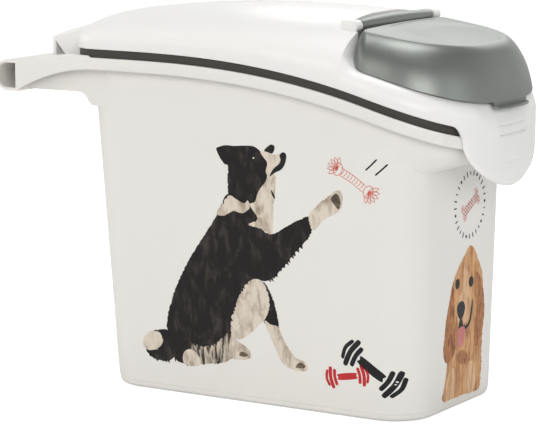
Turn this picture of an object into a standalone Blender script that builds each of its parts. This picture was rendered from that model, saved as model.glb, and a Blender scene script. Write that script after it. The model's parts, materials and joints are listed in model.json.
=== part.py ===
"""Pet food bin: a tapered tub with a rear carry handle, a hinged dome lid and a flip-up spout cap.

Frame: +X points to the spout, +Y to the far side, +Z up, origin on the floor under the middle.
"""
import math

import bmesh
import bpy
from mathutils import Matrix, Vector

# Overall sizes (metres)
FRONT_X = 0.2429          # front face of the snap tab
REAR_X = -0.2475          # back of the carry grip
LID_REAR_X = -0.164       # rear edge of the lid lip and the rim
SIDE_Y = 0.114            # half width of the rim and the lid
CROWN_Z = 0.361           # highest point of the lid
CROWN_X = 0.02            # where that point lies
CROWN_FALL = 0.36         # how fast the crown drops away from it, per metre
FRONT_LENGTH = 0.0954     # how far back the rim's front rounding reaches
FRONT_FLAT = 0.006        # half width of the flat in its middle
FRONT_POWER = 2.35        # roundness in plan: 2 is an ellipse, more is squarer
REAR_RADIUS = 0.030       # plan radius of the rim's rear corners

# Rim line, seen from the side: level at the back, falling towards the spout
RIM_Z = 0.3118
RIM_FALL_X = -0.10
RIM_POWER = 2.45
RIM_FRONT_Z = 0.2521
RIM_FALL = (RIM_Z - RIM_FRONT_Z) / (FRONT_X - RIM_FALL_X) ** RIM_POWER

# Tub
TUB_WALL = 0.0025
FLOOR_WALL = 0.003
FOOT_CHAMFER = 0.004
FOOT_TAPER = 0.7          # the chamfer goes in this share of its height
BASE_REAR_X = -0.142
BASE_SIDE_Y = SIDE_Y - 0.0245
BASE_RADIUS = 0.040
NECK_REAR_X = LID_REAR_X + 0.006
NECK_FRONT_X = FRONT_X - 0.0504
NECK_SIDE_Y = SIDE_Y - 0.010
BASE_FRONT_X = NECK_FRONT_X - 0.0020
NECK_RADIUS = 0.045
POUR_LIP_Z = RIM_FRONT_Z - 0.0301   # underside of the forward pouring lip
POUR_LIP_RISE = 0.006
POUR_LIP_SET = 0.012      # how far the lip stays behind the rim's edge
POUR_LIP_FLARE = 0.84     # share of its reach that it has over its rise
RIM_SKIRT = 0.011
RIM_PLATE = 0.003
RIM_EDGE = 0.0008         # bevel along the rim's outer edge
MOUTH_EDGE = 0.0005
ABOVE = 0.05              # cutting tools stand this far past what they cut
TAB_HALF = 0.0705         # half width of the snap tab
TAB_SET = 0.0034          # how far the rim steps in behind the tab
TAB_ROOM = 0.0085         # the rim is fully stepped in this far past the tab's edge
TAB_EASE = 0.010          # and comes back out over this much more

# Carry handle
GRIP_FRONT_X = -0.2185
GRIP_TOP_Z = RIM_Z - 0.0068
GRIP_BOTTOM_Z = GRIP_TOP_Z - 0.0295
GRIP_WALL = 0.003
GRIP_END = 0.0002         # the grip ends this far inside the arms' faces
ARM_TOP_Z = RIM_Z + 0.0018
ARM_FRONT_X = -0.130
ARM_TOP_FALL = 0.0066     # the arm's top drops this far by the grip
ARM_WIDTH = 0.016
ARM_PLATE = 0.003
ARM_SKIRT_WALL = 0.0028
ARM_SKIRT_END = 0.0287    # depth of the skirt at the grip
ARM_RAISE_X = -0.137
ARM_FALL_POWER = 1.6
ARM_SKIRT_POWER = 2.0
ARM_CUT = 0.00005         # the lid's room is cut this far into the arm
ARM_LOW = 0.0006          # the arm starts this far below the rim's top
ARM_LAP = 0.004           # the arm and the web run this far into the grip
WEB_LAP = 0.002
WEB_Y = NECK_SIDE_Y - 0.0035
WEB_WALL = 0.0028
WEB_BOTTOM_Z = 0.2775
WEB_FILLET = 0.012
WEB_FRONT = 0.029         # the web starts this far inside the tub's rear corner

# Rear hinge of the lid
HINGE_X = LID_REAR_X - 0.019
HINGE_Z = RIM_Z - 0.0023
RAIL_RADIUS = 0.0035
RAIL_HALF = SIDE_Y - 0.032
LUG_Y = RAIL_HALF - 0.024
RAIL_LUGS = (-LUG_Y, 0.0, LUG_Y)
LUG_WIDTH = 0.008
LUG_HEIGHT = 0.0042
LUG_LAP = 0.004           # how far the lugs run into the rim
HOOK_INNER_Y = 0.029
HOOK_OUTER_Y = RAIL_HALF - 0.006
HOOKS = (-HOOK_OUTER_Y, -HOOK_INNER_Y, HOOK_INNER_Y, HOOK_OUTER_Y)
HOOK_WIDTH = 0.006
HOOK_WALL = 0.0024
HOOK_MOUTH = 0.0050
HOOK_RIB = 0.7            # half length of a hook's rib, as a share of the hook's radius
CLEARANCE = 0.0004
CUT = 0.002               # cutting tools run this far past small pieces
INSIDE = 0.0003           # blocks stay this far inside the round pieces they join

# Rim seal
GAP = 0.0003
SEAL_HEIGHT = 0.0072
SEAL_SET = 0.0016
SEAL_WIDTH = 0.0056

# Lid
LID_WALL = 0.0023
LIP_BAND = 0.0052
LIP_FLANGE = 0.0090
LIP_FLANGE_WALL = 0.0025
SIDE_POWER = 2.3
REAR_POWER = 5.0
REAR_ROUND = 0.044
LID_LAND = 0.0115         # width of the rounded wall below the spout deck
LAND_POWER = 1.8
LID_SET = 0.0004          # the lid stands this far inside the tab's face
DECK_REAR_X = FRONT_X - 0.1152
DECK_Z = 0.316
DECK_LEVEL_X = DECK_REAR_X + 0.0023
DECK_FALL = 0.22
DECK_CURVE = 0.66
DECK_RISE_X = DECK_REAR_X + 0.0148
DECK_RISE_RADIUS = 0.0165
TROUGH_X = DECK_REAR_X - 0.0165
TROUGH_Z = 0.330
TROUGH_HALF = SIDE_Y - 0.0375
STEP = 0.0012
STEP_RUN = 0.0015         # the trough's side walls lean by this
RISE_COLUMNS = (0.3, 0.7)
LIP_EDGE = 0.0006         # bevel along the lid's lower edge
SPOUT_REAR_X = FRONT_X - 0.0897
SPOUT_FRONT_X = FRONT_X - 0.0229
SPOUT_HALF = SIDE_Y - 0.052
SPOUT_RADIUS = 0.022
COLLAR_WALL = 0.0022
COLLAR_HEIGHT = 0.006
SPOUT_LOW = -0.02         # the opening's cutting column, from the deck
SPOUT_HIGH = 0.03

# Snap tab at the front of the lid
TAB_TOP_LAP = 0.0098
TAB_WALL = 0.0026
TAB_Z = RIM_FRONT_Z - 0.0021   # height where the tab is at its widest
TAB_DROP = 0.042
TAB_POWER = 1.75

# Rear hood of the lid
HOOD_REAR_X = HINGE_X - 0.0135
HOOD_FRONT_X = LID_REAR_X + 0.0055
HOOD_HALF = SIDE_Y - 0.0247
HOOD_Z = HINGE_Z + 0.0251
HOOD_EDGE = 0.0015
HOOD_RISE = 0.25
HOOD_ARCH = 0.94
HOOD_BOTTOM_Z = HINGE_Z - 0.0030
HOOD_WALL = 0.0023
HOOD_RELIEF = 0.0015      # room between the hood and the rim's rear edge
HOOD_OPEN = 0.02
NOTCH_SET = 0.0035        # triangular recess in each side of the hood
NOTCH_LOW = 0.003
NOTCH_HIGH = 0.0165
NOTCH_LENGTH = 0.012

# Spout cap
CAP_REAR_X = DECK_REAR_X + 0.0013
CAP_FRONT_X = FRONT_X - 0.0029
CAP_HALF = SIDE_Y - 0.0105
CAP_REAR_RADIUS = 0.020
CAP_FRONT_LENGTH = 0.085
CAP_FRONT_POWER = 2.40
CAP_WALL = 0.0022
CAP_TOP_Z = 0.3475
CAP_TOP_FALL = 0.15
CAP_CROWN = 0.0030
CAP_LIFT = 0.0007
CAP_HINGE_X = CAP_REAR_X - 0.0085
CAP_HINGE_Z = CAP_TOP_Z + 0.0020
KNUCKLE_END = 0.0045
KNUCKLE_MID = 0.0075
EAR_LENGTH = 0.009
EAR_GAP = 0.001           # between the ears and the knuckle
KNUCKLE_HALF = TROUGH_HALF - EAR_LENGTH - EAR_GAP
PIN_RADIUS = 0.0022
PIN_LENGTH = EAR_LENGTH - 0.0025
PIN_END = 0.0006
EAR_RADIUS = 0.0055
EAR_LAP = 0.0022          # the ears run this far into the trough's walls
EAR_FOOT = 1.3            # and their feet this many steps into its rear wall
WEB_PLATE = 0.0026
WEB_REACH = 0.006         # the web runs this far past the cap's rear wall
WEB_DROP = 0.0004
CAP_LIP_HALF = 0.032
CAP_LIP_REACH = 0.0074
CAP_LIP_WALL = 0.0020
CAP_LIP_RISE = 0.0139     # its underside lies this far above the lid's band
CAP_LIP_TOP = 0.004
CAP_LIP_END = 0.0001
CAP_LIP_FILLET = 0.0004
CAP_CORNER = 0.6          # the cap's rear corners tighten by this share of each inset
CAP_REAR_WALL = 0.88      # the rear wall's inner skin, as a share of the wall
CAP_REAR_ZONE = 0.02      # how far forward that holds
CAP_LOW_INSET = 0.03
CAP_EASE = 1.5

# Facets
WELD = 3e-6
REAR_SEGMENTS = 5
FRONT_SEGMENTS = 11
SIDE_COLUMNS = 8
ROUND_SEGMENTS = 20


def clear_scene():
    for item in list(bpy.data.objects):
        bpy.data.objects.remove(item, do_unlink=True)


def material(name, colour, roughness, metallic=0.0):
    made = bpy.data.materials.new(name)
    made.use_nodes = True
    shader = made.node_tree.nodes["Principled BSDF"]
    shader.inputs["Base Color"].default_value = (*colour, 1.0)
    shader.inputs["Roughness"].default_value = roughness
    shader.inputs["Metallic"].default_value = metallic
    return made


def smooth(t):
    t = min(1.0, max(0.0, t))
    return t * t * (3.0 - 2.0 * t)


def rim_z(x):
    """Height of the rim's top edge."""
    return RIM_Z - RIM_FALL * max(0.0, x - RIM_FALL_X) ** RIM_POWER


def outline(rear_x, front_x, half, rear_radius, front, split=()):
    """Plan outline as (x, y) points, from the rear middle round by +Y to the front and back.

    front is the front corner's length and width and its power: 2 for an ellipse, more for a squarer one.
    """
    length, width, power = front
    start = rear_x + rear_radius
    stop = front_x - length
    first = split[0] if split else stop
    points = [(rear_x, 0.0), (rear_x, 0.5 * (half - rear_radius))]
    for step in range(REAR_SEGMENTS + 1):
        turn = math.pi - 0.5 * math.pi * step / REAR_SEGMENTS
        points.append((start + rear_radius * math.cos(turn), half - rear_radius + rear_radius * math.sin(turn)))
    for column in range(1, SIDE_COLUMNS + 1):
        points.append((start + (first - start) * column / SIDE_COLUMNS, half))
    for x in (*split[1:], stop) if split else ():
        points.append((x, half))
    for step in range(1, FRONT_SEGMENTS + 1):
        turn = 0.5 * math.pi * (1.0 - step / FRONT_SEGMENTS)
        across = max(0.0, math.sin(turn)) ** (2.0 / power)
        points.append((stop + length * math.cos(turn) ** (2.0 / power), half - width + width * across))
    points.append((front_x, 0.0))
    return points + [(x, -y) for x, y in reversed(points[1:-1])]


def rim_split(shift=0.0):
    """Places along the side where the lid steps down to the spout deck."""
    trough = TROUGH_X - STEP - shift
    deck = DECK_REAR_X - STEP - shift
    rise = DECK_RISE_X - DECK_REAR_X
    return (trough, trough + STEP, deck, deck + STEP, *(DECK_REAR_X + share * rise for share in RISE_COLUMNS))


def front_reach(y, half, length, power):
    """How far a front rounding of that length stands forward of its start at y."""
    across = max(0.0, abs(y) - FRONT_FLAT) / (half - FRONT_FLAT)
    return length * max(0.0, 1.0 - across ** power) ** (1.0 / power)


def rim_outline(inset=0.0, shift=0.0):
    """The rim's plan outline, moved inwards by inset."""
    rear_radius = max(0.001, REAR_RADIUS - inset)
    front = (max(0.001, FRONT_LENGTH - inset), SIDE_Y - FRONT_FLAT - inset, FRONT_POWER)
    return outline(
        LID_REAR_X + inset, FRONT_X - LID_SET - inset, SIDE_Y - inset, rear_radius, front, rim_split(shift)
    )


def stepped_rim(inset=0.0):
    """The rim's outline, stepped in behind the snap tab."""
    moved = []
    for (x, y), (inner_x, inner_y) in zip(rim_outline(inset), rim_outline(inset + TAB_SET)):
        share = smooth((TAB_HALF + TAB_ROOM + TAB_EASE - abs(y)) / TAB_EASE) if x > 0.0 else 0.0
        moved.append((x + (inner_x - x) * share, y + (inner_y - y) * share))
    return moved


def mesh_object(name, bm, finish=None):
    bmesh.ops.recalc_face_normals(bm, faces=bm.faces)
    data = bpy.data.meshes.new(name)
    bm.to_mesh(data)
    bm.free()
    made = bpy.data.objects.new(name, data)
    bpy.context.collection.objects.link(made)
    if finish:
        data.materials.append(finish)
    return made


def ladder(bm, ring, flip=False):
    """Closes a ring that mirrors in Y with strips from side to side."""
    count = len(ring)
    half = count // 2
    ends = 3
    faces = [[ring[step] for step in range(-ends, ends + 1)]]
    for step in range(ends, half - 2):
        faces.append([ring[-step], ring[step], ring[step + 1], ring[-step - 1]])
    faces.append([ring[step] for step in range(half - 2, half + 3)])
    for corners in faces:
        bm.faces.new(corners[::-1] if flip else corners)


def loft(name, rings, finish=None):
    """Closed solid through equal rings of points, closed at both ends."""
    bm = bmesh.new()
    made = [[bm.verts.new(point) for point in ring] for ring in rings]
    for low, high in zip(made, made[1:]):
        for step in range(len(low)):
            nearest = (step + 1) % len(low)
            bm.faces.new((low[step], low[nearest], high[nearest], high[step]))
    ladder(bm, made[0], flip=True)
    ladder(bm, made[-1])
    return mesh_object(name, bm, finish)


def hoop(name, rings, finish=None):
    """Closed ring solid: the last ring of points joins the first."""
    bm = bmesh.new()
    made = [[bm.verts.new(point) for point in ring] for ring in rings]
    for low, high in zip(made, made[1:] + made[:1]):
        for step in range(len(low)):
            nearest = (step + 1) % len(low)
            bm.faces.new((low[step], low[nearest], high[nearest], high[step]))
    return mesh_object(name, bm, finish)


def strip(name, sections, finish=None):
    """Closed bar through equal cross sections, with flat ends."""
    bm = bmesh.new()
    made = [[bm.verts.new(point) for point in section] for section in sections]
    for low, high in zip(made, made[1:]):
        for step in range(len(low)):
            nearest = (step + 1) % len(low)
            bm.faces.new((low[step], low[nearest], high[nearest], high[step]))
    bm.faces.new(made[0][::-1])
    bm.faces.new(made[-1])
    return mesh_object(name, bm, finish)


def block(name, low, high):
    sections = []
    for x in (low[0], high[0]):
        sections.append([(x, low[1], low[2]), (x, high[1], low[2]), (x, high[1], high[2]), (x, low[1], high[2])])
    return strip(name, sections)


def turned_bar(name, stations, centre_x, centre_z, segments=ROUND_SEGMENTS):
    """Round bar along Y through (y, radius) stations."""
    sections = []
    for y, radius in stations:
        ring = []
        for step in range(segments):
            turn = 2.0 * math.pi * step / segments
            ring.append((centre_x + radius * math.cos(turn), y, centre_z + radius * math.sin(turn)))
        sections.append(ring)
    return strip(name, sections)


def tidy(data):
    """Merges the points that a Boolean leaves almost on top of each other."""
    bm = bmesh.new()
    bm.from_mesh(data)
    bmesh.ops.remove_doubles(bm, verts=bm.verts, dist=WELD)
    bmesh.ops.dissolve_degenerate(bm, edges=bm.edges, dist=WELD)
    bmesh.ops.triangulate(bm, faces=[face for face in bm.faces if len(face.verts) > 4])
    bm.to_mesh(data)
    bm.free()


def join(target, tool, operation="UNION"):
    """Applies one exact Boolean and removes the tool."""
    cut = target.modifiers.new(operation.title(), "BOOLEAN")
    cut.operation = operation
    cut.solver = "EXACT"
    cut.object = tool
    graph = bpy.context.evaluated_depsgraph_get()
    result = bpy.data.meshes.new_from_object(target.evaluated_get(graph))
    target.modifiers.clear()
    old = target.data
    target.data = result
    tidy(result)
    result.name = target.name
    bpy.data.meshes.remove(old)
    bpy.data.objects.remove(tool, do_unlink=True)
    return target


def shade(made, angle=32.0):
    made.data.shade_smooth()
    made.data.set_sharp_from_angle(angle=math.radians(angle))


# ---- Tub ----

def tub_outline(share, inset=0.0):
    """Plan of the tub's body between its base (share 0) and its neck (share 1)."""
    rear_x = BASE_REAR_X + (NECK_REAR_X - BASE_REAR_X) * share
    front_x = BASE_FRONT_X + (NECK_FRONT_X - BASE_FRONT_X) * share
    half = BASE_SIDE_Y + (NECK_SIDE_Y - BASE_SIDE_Y) * share
    radius = BASE_RADIUS + (NECK_RADIUS - BASE_RADIUS) * share - inset
    corner = (radius, radius, 2.0)
    return outline(rear_x + inset, front_x - inset, half - inset, radius, corner, rim_split())


def lip_outline(inset=0.0):
    """Plan of the tub's mouth, where the front leans out to pour."""
    front_x = FRONT_X - POUR_LIP_SET
    front = (FRONT_LENGTH - POUR_LIP_SET - inset, NECK_SIDE_Y - FRONT_FLAT - inset, FRONT_POWER)
    return outline(NECK_REAR_X + inset, front_x - inset, NECK_SIDE_Y - inset, NECK_RADIUS - inset, front, rim_split())


def rim_heights(plan, drop=0.0):
    """Rim heights for another plan: read at its own x along the sides, by its partner round the front."""
    first = rim_split()[0]
    return [rim_z(x if x < first else rim_x) - drop for (x, _), (rim_x, _) in zip(plan, rim_outline())]


def raised(plan, heights):
    return [(x, y, z) for (x, y), z in zip(plan, heights)]


def tub_skin(inset, floor_z):
    """Rings of the tub's wall from its floor to its mouth, moved inwards by inset."""
    top = rim_heights(lip_outline(inset), RIM_PLATE)
    lowest = min(top)
    bend = (POUR_LIP_Z + inset) / lowest
    count = len(top)
    rings = [raised(tub_outline(0.0, inset + FOOT_CHAMFER * FOOT_TAPER), [floor_z] * count)]
    rings.append(raised(tub_outline(0.0, inset), [floor_z + FOOT_CHAMFER] * count))
    for share in (0.5, 1.0):
        rings.append(raised(tub_outline(share * bend, inset), [z * bend * share for z in top]))
    lifted = [z * bend + POUR_LIP_RISE for z in top]
    near = (POUR_LIP_Z + inset + POUR_LIP_RISE) / lowest
    body, mouth = tub_outline(near, inset), lip_outline(inset)
    flare = [(a + (c - a) * POUR_LIP_FLARE, b + (d - b) * POUR_LIP_FLARE) for (a, b), (c, d) in zip(body, mouth)]
    rings.append(raised(flare, lifted))
    rings.append(raised(mouth, top))
    return rings


def make_tub(finish):
    rim_top = [rim_z(x) for x, _ in rim_outline()]
    under = [z - RIM_PLATE for z in rim_top]
    skirt = [z - RIM_SKIRT for z in rim_top]
    eased = [z - RIM_EDGE for z in rim_top]
    rings = tub_skin(0.0, 0.0)
    rings.append(raised(stepped_rim(TUB_WALL), under))
    rings.append(raised(stepped_rim(TUB_WALL), skirt))
    rings.append(raised(stepped_rim(), skirt))
    rings.append(raised(stepped_rim(), eased))
    rings.append(raised(stepped_rim(RIM_EDGE), rim_top))
    mouth = lip_outline(TUB_WALL + MOUTH_EDGE)
    rings.append(raised(mouth, rim_heights(mouth)))
    tub = loft("tub", rings, finish)
    for side in (-1.0, 1.0):
        join(tub, make_arm(side))
        join(tub, make_web(side))
    join(tub, make_grip())
    rail = turned_bar("rail", [(-RAIL_HALF, RAIL_RADIUS), (RAIL_HALF, RAIL_RADIUS)], HINGE_X, HINGE_Z)
    for y in RAIL_LUGS:
        low = (HINGE_X, y - 0.5 * LUG_WIDTH, HINGE_Z - 0.5 * LUG_HEIGHT)
        high = (LID_REAR_X + LUG_LAP, y + 0.5 * LUG_WIDTH, HINGE_Z + 0.5 * LUG_HEIGHT)
        join(rail, block("lug", low, high))
    join(tub, rail)
    mouth = tub_skin(TUB_WALL, FLOOR_WALL)
    above = [z + ABOVE for z in rim_top]
    mouth.append(raised(lip_outline(TUB_WALL), above))
    join(tub, loft("cavity", mouth), "DIFFERENCE")
    shade(tub)
    return tub


def arm_top(x):
    """Height of the handle arm's top, easing down towards the grip."""
    share = (ARM_RAISE_X - x) / (ARM_RAISE_X - GRIP_FRONT_X)
    return ARM_TOP_Z - ARM_TOP_FALL * max(0.0, share) ** ARM_FALL_POWER


def arm_skirt(x):
    """Height of the arm's lower edge, from the rim's skirt down to the grip."""
    share = max(0.0, (ARM_FRONT_X - x) / (ARM_FRONT_X - GRIP_FRONT_X))
    start = RIM_Z - RIM_SKIRT
    return start - (start - (arm_top(GRIP_FRONT_X) - ARM_SKIRT_END)) * share ** ARM_SKIRT_POWER


def arm_stations():
    count = 9
    return [ARM_FRONT_X + (GRIP_FRONT_X - ARM_LAP - ARM_FRONT_X) * step / count for step in range(count + 1)]


def make_arm(side):
    """Handle arm: a top plate with an outer skirt, raised slightly beside the lid."""
    outer, inner = side * SIDE_Y, side * (SIDE_Y - ARM_WIDTH)
    lined = side * (SIDE_Y - ARM_SKIRT_WALL)
    sections = []
    for x in arm_stations():
        top = arm_top(x) if x < ARM_RAISE_X else RIM_Z - ARM_LOW
        plate, low = min(top, RIM_Z) - ARM_PLATE, arm_skirt(x) + GRIP_END
        sections.append([(x, outer, low), (x, outer, top), (x, inner, top), (x, inner, plate), (x, lined, plate),
                         (x, lined, low)])
    arm = strip("arm", sections)
    room = rim_outline(SEAL_SET - CLEARANCE)
    low, high = [RIM_Z - ARM_CUT] * len(room), [RIM_Z + ABOVE] * len(room)
    return join(arm, loft("room", [raised(room, low), raised(room, high)]), "DIFFERENCE")


def make_web(side):
    """Gusset under the arm, from the tub's rear corner to the grip."""
    outer, inner = side * WEB_Y, side * (WEB_Y - WEB_WALL)
    front = NECK_REAR_X + WEB_FRONT
    sections = []
    count = 8
    for step in range(count + 1):
        x = front + (GRIP_FRONT_X - WEB_LAP - front) * step / count
        reach = max(0.0, 1.0 - (NECK_REAR_X + WEB_FILLET - x) / WEB_FILLET)
        low = WEB_BOTTOM_Z - WEB_FILLET * min(1.0, reach) ** 2
        top = min(arm_top(x), RIM_Z) - 0.5 * ARM_PLATE
        sections.append([(x, outer, low), (x, outer, top), (x, inner, top), (x, inner, low)])
    return strip("web", sections)


def grip_section(inset):
    """D-shaped section of the grip: straight in front, round at the back."""
    top, low = GRIP_TOP_Z - inset, GRIP_BOTTOM_Z + inset
    radius = 0.5 * (top - low)
    middle = REAR_X + inset + radius
    points = [(GRIP_FRONT_X - inset, low), (GRIP_FRONT_X - inset, top)]
    count = 10
    for step in range(count + 1):
        turn = 0.5 * math.pi + math.pi * step / count
        points.append((middle + radius * math.cos(turn), 0.5 * (top + low) + radius * math.sin(turn)))
    return points


def make_grip():
    """Hollow crossbar, open at both ends."""
    def bar(inset, half):
        return [[(x, y, z) for x, z in grip_section(inset)] for y in (-half, half)]
    grip = strip("grip", bar(0.0, SIDE_Y - GRIP_END))
    return join(grip, strip("bore", bar(GRIP_WALL, SIDE_Y + CUT)), "DIFFERENCE")


# ---- Rim seal ----

def make_seal(finish):
    low = [rim_z(x) + GAP for x, _ in rim_outline()]
    high = [z + SEAL_HEIGHT for z in low]
    outer, inner = stepped_rim(SEAL_SET), rim_outline(SEAL_SET + SEAL_WIDTH)
    rings = [raised(outer, low), raised(outer, high), raised(inner, high), raised(inner, low)]
    seal = hoop("rim_seal", rings, finish)
    shade(seal)
    return seal


# ---- Lid ----

TROUGH_INSET = SIDE_Y - TROUGH_HALF
LID_TOP_SHARES = (0.19, 0.451, 0.712)
LID_RINGS = (0.0003, 0.0012, 0.0030, 0.0060, 0.0115, 0.018, 0.027, TROUGH_INSET - STEP_RUN, TROUGH_INSET,
             *(TROUGH_INSET + TROUGH_HALF * share for share in LID_TOP_SHARES))
STEP_RINGS = (7, 8)       # these rings carry the trough's side walls


def lip_z(x):
    """Underside of the lid's lip."""
    return rim_z(x) + 2.0 * GAP + SEAL_HEIGHT


def half_width(x):
    """Half width of the lid's outline at x."""
    rear = LID_REAR_X + REAR_RADIUS
    if x < rear:
        across = max(0.0, REAR_RADIUS ** 2 - (rear - x) ** 2)
        return SIDE_Y - REAR_RADIUS + math.sqrt(across)
    return SIDE_Y


def crown_z(x):
    return CROWN_Z - CROWN_FALL * (x - CROWN_X) ** 2


def deck_z(x):
    """The deck under the spout cap, curling up at its rear."""
    ahead = x - DECK_LEVEL_X
    level = DECK_Z - DECK_FALL * ahead - DECK_CURVE * max(0.0, ahead) ** 2
    behind = min(DECK_RISE_RADIUS, max(0.0, DECK_RISE_X - x))
    return level + DECK_RISE_RADIUS - math.sqrt(DECK_RISE_RADIUS ** 2 - behind ** 2)


def dome_z(x, y):
    base = lip_z(x) + LIP_BAND
    across = min(1.0, abs(y) / half_width(x))
    rear = min(1.0, max(0.0, (LID_REAR_X + REAR_ROUND - x) / REAR_ROUND))
    side = (1.0 - across ** SIDE_POWER) ** (1.0 / SIDE_POWER)
    back = (1.0 - rear ** REAR_POWER) ** (1.0 / REAR_POWER)
    return base + (crown_z(x) - base) * side * back


def land_z(x, inset):
    """Rounded wall from the lip up to the edge of the deck."""
    base = lip_z(x) + LIP_BAND
    left = max(0.0, 1.0 - inset / LID_LAND)
    return base + (deck_z(x) - base) * (1.0 - left ** LAND_POWER) ** (1.0 / LAND_POWER)


def lid_ring(ring, inset, shift, drop):
    """One ring of the lid's skin, read from the outer shape and moved inwards by shift and drop."""
    outer = rim_outline(inset)
    moved = inset + (shift if ring not in STEP_RINGS else -shift)
    placed = rim_outline(moved, shift)
    points = []
    for (x, y), (at_x, at_y) in zip(outer, placed):
        if x > DECK_REAR_X - 0.5 * STEP:
            z = land_z(x, inset)
        elif x > TROUGH_X - 0.5 * STEP and ring > STEP_RINGS[0]:
            z = TROUGH_Z
        else:
            z = dome_z(x, y)
        points.append((at_x, at_y, z - drop))
    return points


def lip_ring(inset, rise):
    plan = rim_outline(inset)
    return [(x, y, lip_z(rim_x) + rise) for (x, y), (rim_x, _) in zip(plan, rim_outline())]


def make_tab():
    """Snap tab: a wide rounded tongue that hangs in front of the rim."""
    sections = []
    count = 20
    for step in range(count + 1):
        share = math.sin(0.5 * math.pi * (2.0 * step / count - 1.0))
        y = TAB_HALF * share
        inside = []
        for inset in (0.0, TAB_WALL):
            reach = front_reach(y, SIDE_Y - inset, FRONT_LENGTH - inset, FRONT_POWER)
            inside.append(FRONT_X - FRONT_LENGTH + reach)
        low = TAB_Z - TAB_DROP * max(0.0, 1.0 - abs(share) ** TAB_POWER) ** (1.0 / TAB_POWER)
        top = rim_z(inside[0]) + TAB_TOP_LAP
        sections.append([(inside[0], y, low), (inside[0], y, top), (inside[1], y, top), (inside[1], y, low)])
    return strip("tab", sections)


def hood_top(x, y):
    return HOOD_Z + HOOD_RISE * (x - HOOD_REAR_X) - HOOD_ARCH * y * y


def hood_solid(name, rear_x, front_x, half, low, drop):
    sections = []
    count = 10
    for step in range(count + 1):
        y = half * (2.0 * step / count - 1.0)
        sections.append([(rear_x, y, low), (rear_x, y, hood_top(rear_x, y) - drop - HOOD_EDGE),
                         (rear_x + HOOD_EDGE, y, hood_top(rear_x, y) - drop),
                         (front_x, y, hood_top(front_x, y) - drop), (front_x, y, low)])
    return strip(name, sections)


def make_hook(y):
    """Snap hook under the hood: a C round the tub's rail on a rib from the hood's top."""
    inner = RAIL_RADIUS + CLEARANCE
    outer = inner + HOOK_WALL
    low, high = y - 0.5 * HOOK_WIDTH, y + 0.5 * HOOK_WIDTH
    hook = turned_bar("hook", [(low, outer), (high, outer)], HINGE_X, HINGE_Z)
    top = hood_top(HINGE_X, y) - 0.5 * HOOD_WALL
    reach = outer * HOOK_RIB
    join(hook, block("rib", (HINGE_X - reach, low + INSIDE, HINGE_Z), (HINGE_X + reach, high - INSIDE, top)))
    join(hook, turned_bar("bore", [(low - CUT, inner), (high + CUT, inner)], HINGE_X, HINGE_Z), "DIFFERENCE")
    mouth = (HINGE_X - 0.5 * HOOK_MOUTH, low - CUT, HINGE_Z - 2.0 * outer)
    return join(hook, block("mouth", mouth, (HINGE_X + 0.5 * HOOK_MOUTH, high + CUT, HINGE_Z)), "DIFFERENCE")


def make_hood():
    hood = hood_solid("hood", HOOD_REAR_X, HOOD_FRONT_X, HOOD_HALF, HOOD_BOTTOM_Z, 0.0)
    inner = hood_solid("inside", HOOD_REAR_X + HOOD_WALL, HOOD_FRONT_X + HOOD_OPEN, HOOD_HALF - HOOD_WALL,
                       HOOD_BOTTOM_Z - CUT, HOOD_WALL)
    join(hood, inner, "DIFFERENCE")
    notch = []
    for y in (-HOOD_HALF - CUT, HOOD_HALF + CUT):
        left = HOOD_REAR_X + NOTCH_SET
        notch.append([(left, y, HOOD_BOTTOM_Z + NOTCH_LOW), (left, y, HOOD_BOTTOM_Z + NOTCH_HIGH),
                      (left + NOTCH_LENGTH, y, HOOD_BOTTOM_Z + NOTCH_LOW)])
    join(hood, strip("notch", notch), "DIFFERENCE")
    # the lower front corners stay clear of the rim's rear edge
    low = (LID_REAR_X - HOOD_RELIEF, -HOOD_HALF - CUT, HOOD_BOTTOM_Z - CUT)
    join(hood, block("relief", low, (0.0, HOOD_HALF + CUT, lip_z(LID_REAR_X) + 0.5 * CUT)), "DIFFERENCE")
    for y in HOOKS:
        join(hood, make_hook(y))
    return hood


def spout_plan(grow):
    """Rounded outline of the spout opening."""
    rear, front, half = SPOUT_REAR_X - grow, SPOUT_FRONT_X + grow, SPOUT_HALF + grow
    radius = SPOUT_RADIUS + grow
    points = []
    for middle_x, middle_y, start in ((front - radius, half - radius, 0.0), (rear + radius, half - radius, 90.0),
                                      (rear + radius, radius - half, 180.0), (front - radius, radius - half, 270.0)):
        for step in range(6):
            turn = math.radians(start + 90.0 * step / 5)
            points.append((middle_x + radius * math.cos(turn), middle_y + radius * math.sin(turn)))
    return points


def spout_column(name, grow, low, high):
    """Upright column on the spout outline, following the deck's slope."""
    plan = spout_plan(grow)
    sections = [[(x, y, deck_z(x) + rise) for x, y in plan] for rise in (low, high)]
    return strip(name, sections)


def make_ear(side):
    """Block beside the hinge trough that holds one end of the cap's pin."""
    inner = side * (KNUCKLE_HALF + EAR_GAP)
    outer = side * (TROUGH_HALF + EAR_LAP)
    ear = turned_bar("ear", sorted([(inner, EAR_RADIUS), (outer, EAR_RADIUS)]), CAP_HINGE_X, CAP_HINGE_Z)
    low = (TROUGH_X - EAR_FOOT * STEP, min(inner, outer) + INSIDE, CAP_HINGE_Z - EAR_RADIUS + INSIDE)
    high = (CAP_HINGE_X, max(inner, outer) - INSIDE, CAP_HINGE_Z + EAR_RADIUS - 2.0 * INSIDE)
    join(ear, block("foot", low, high))
    ends = sorted([side * (KNUCKLE_HALF - CUT), side * (KNUCKLE_HALF + PIN_LENGTH + PIN_END)])
    hole = PIN_RADIUS + CLEARANCE
    return join(ear, turned_bar("hole", [(ends[0], hole), (ends[1], hole)], CAP_HINGE_X, CAP_HINGE_Z), "DIFFERENCE")


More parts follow.
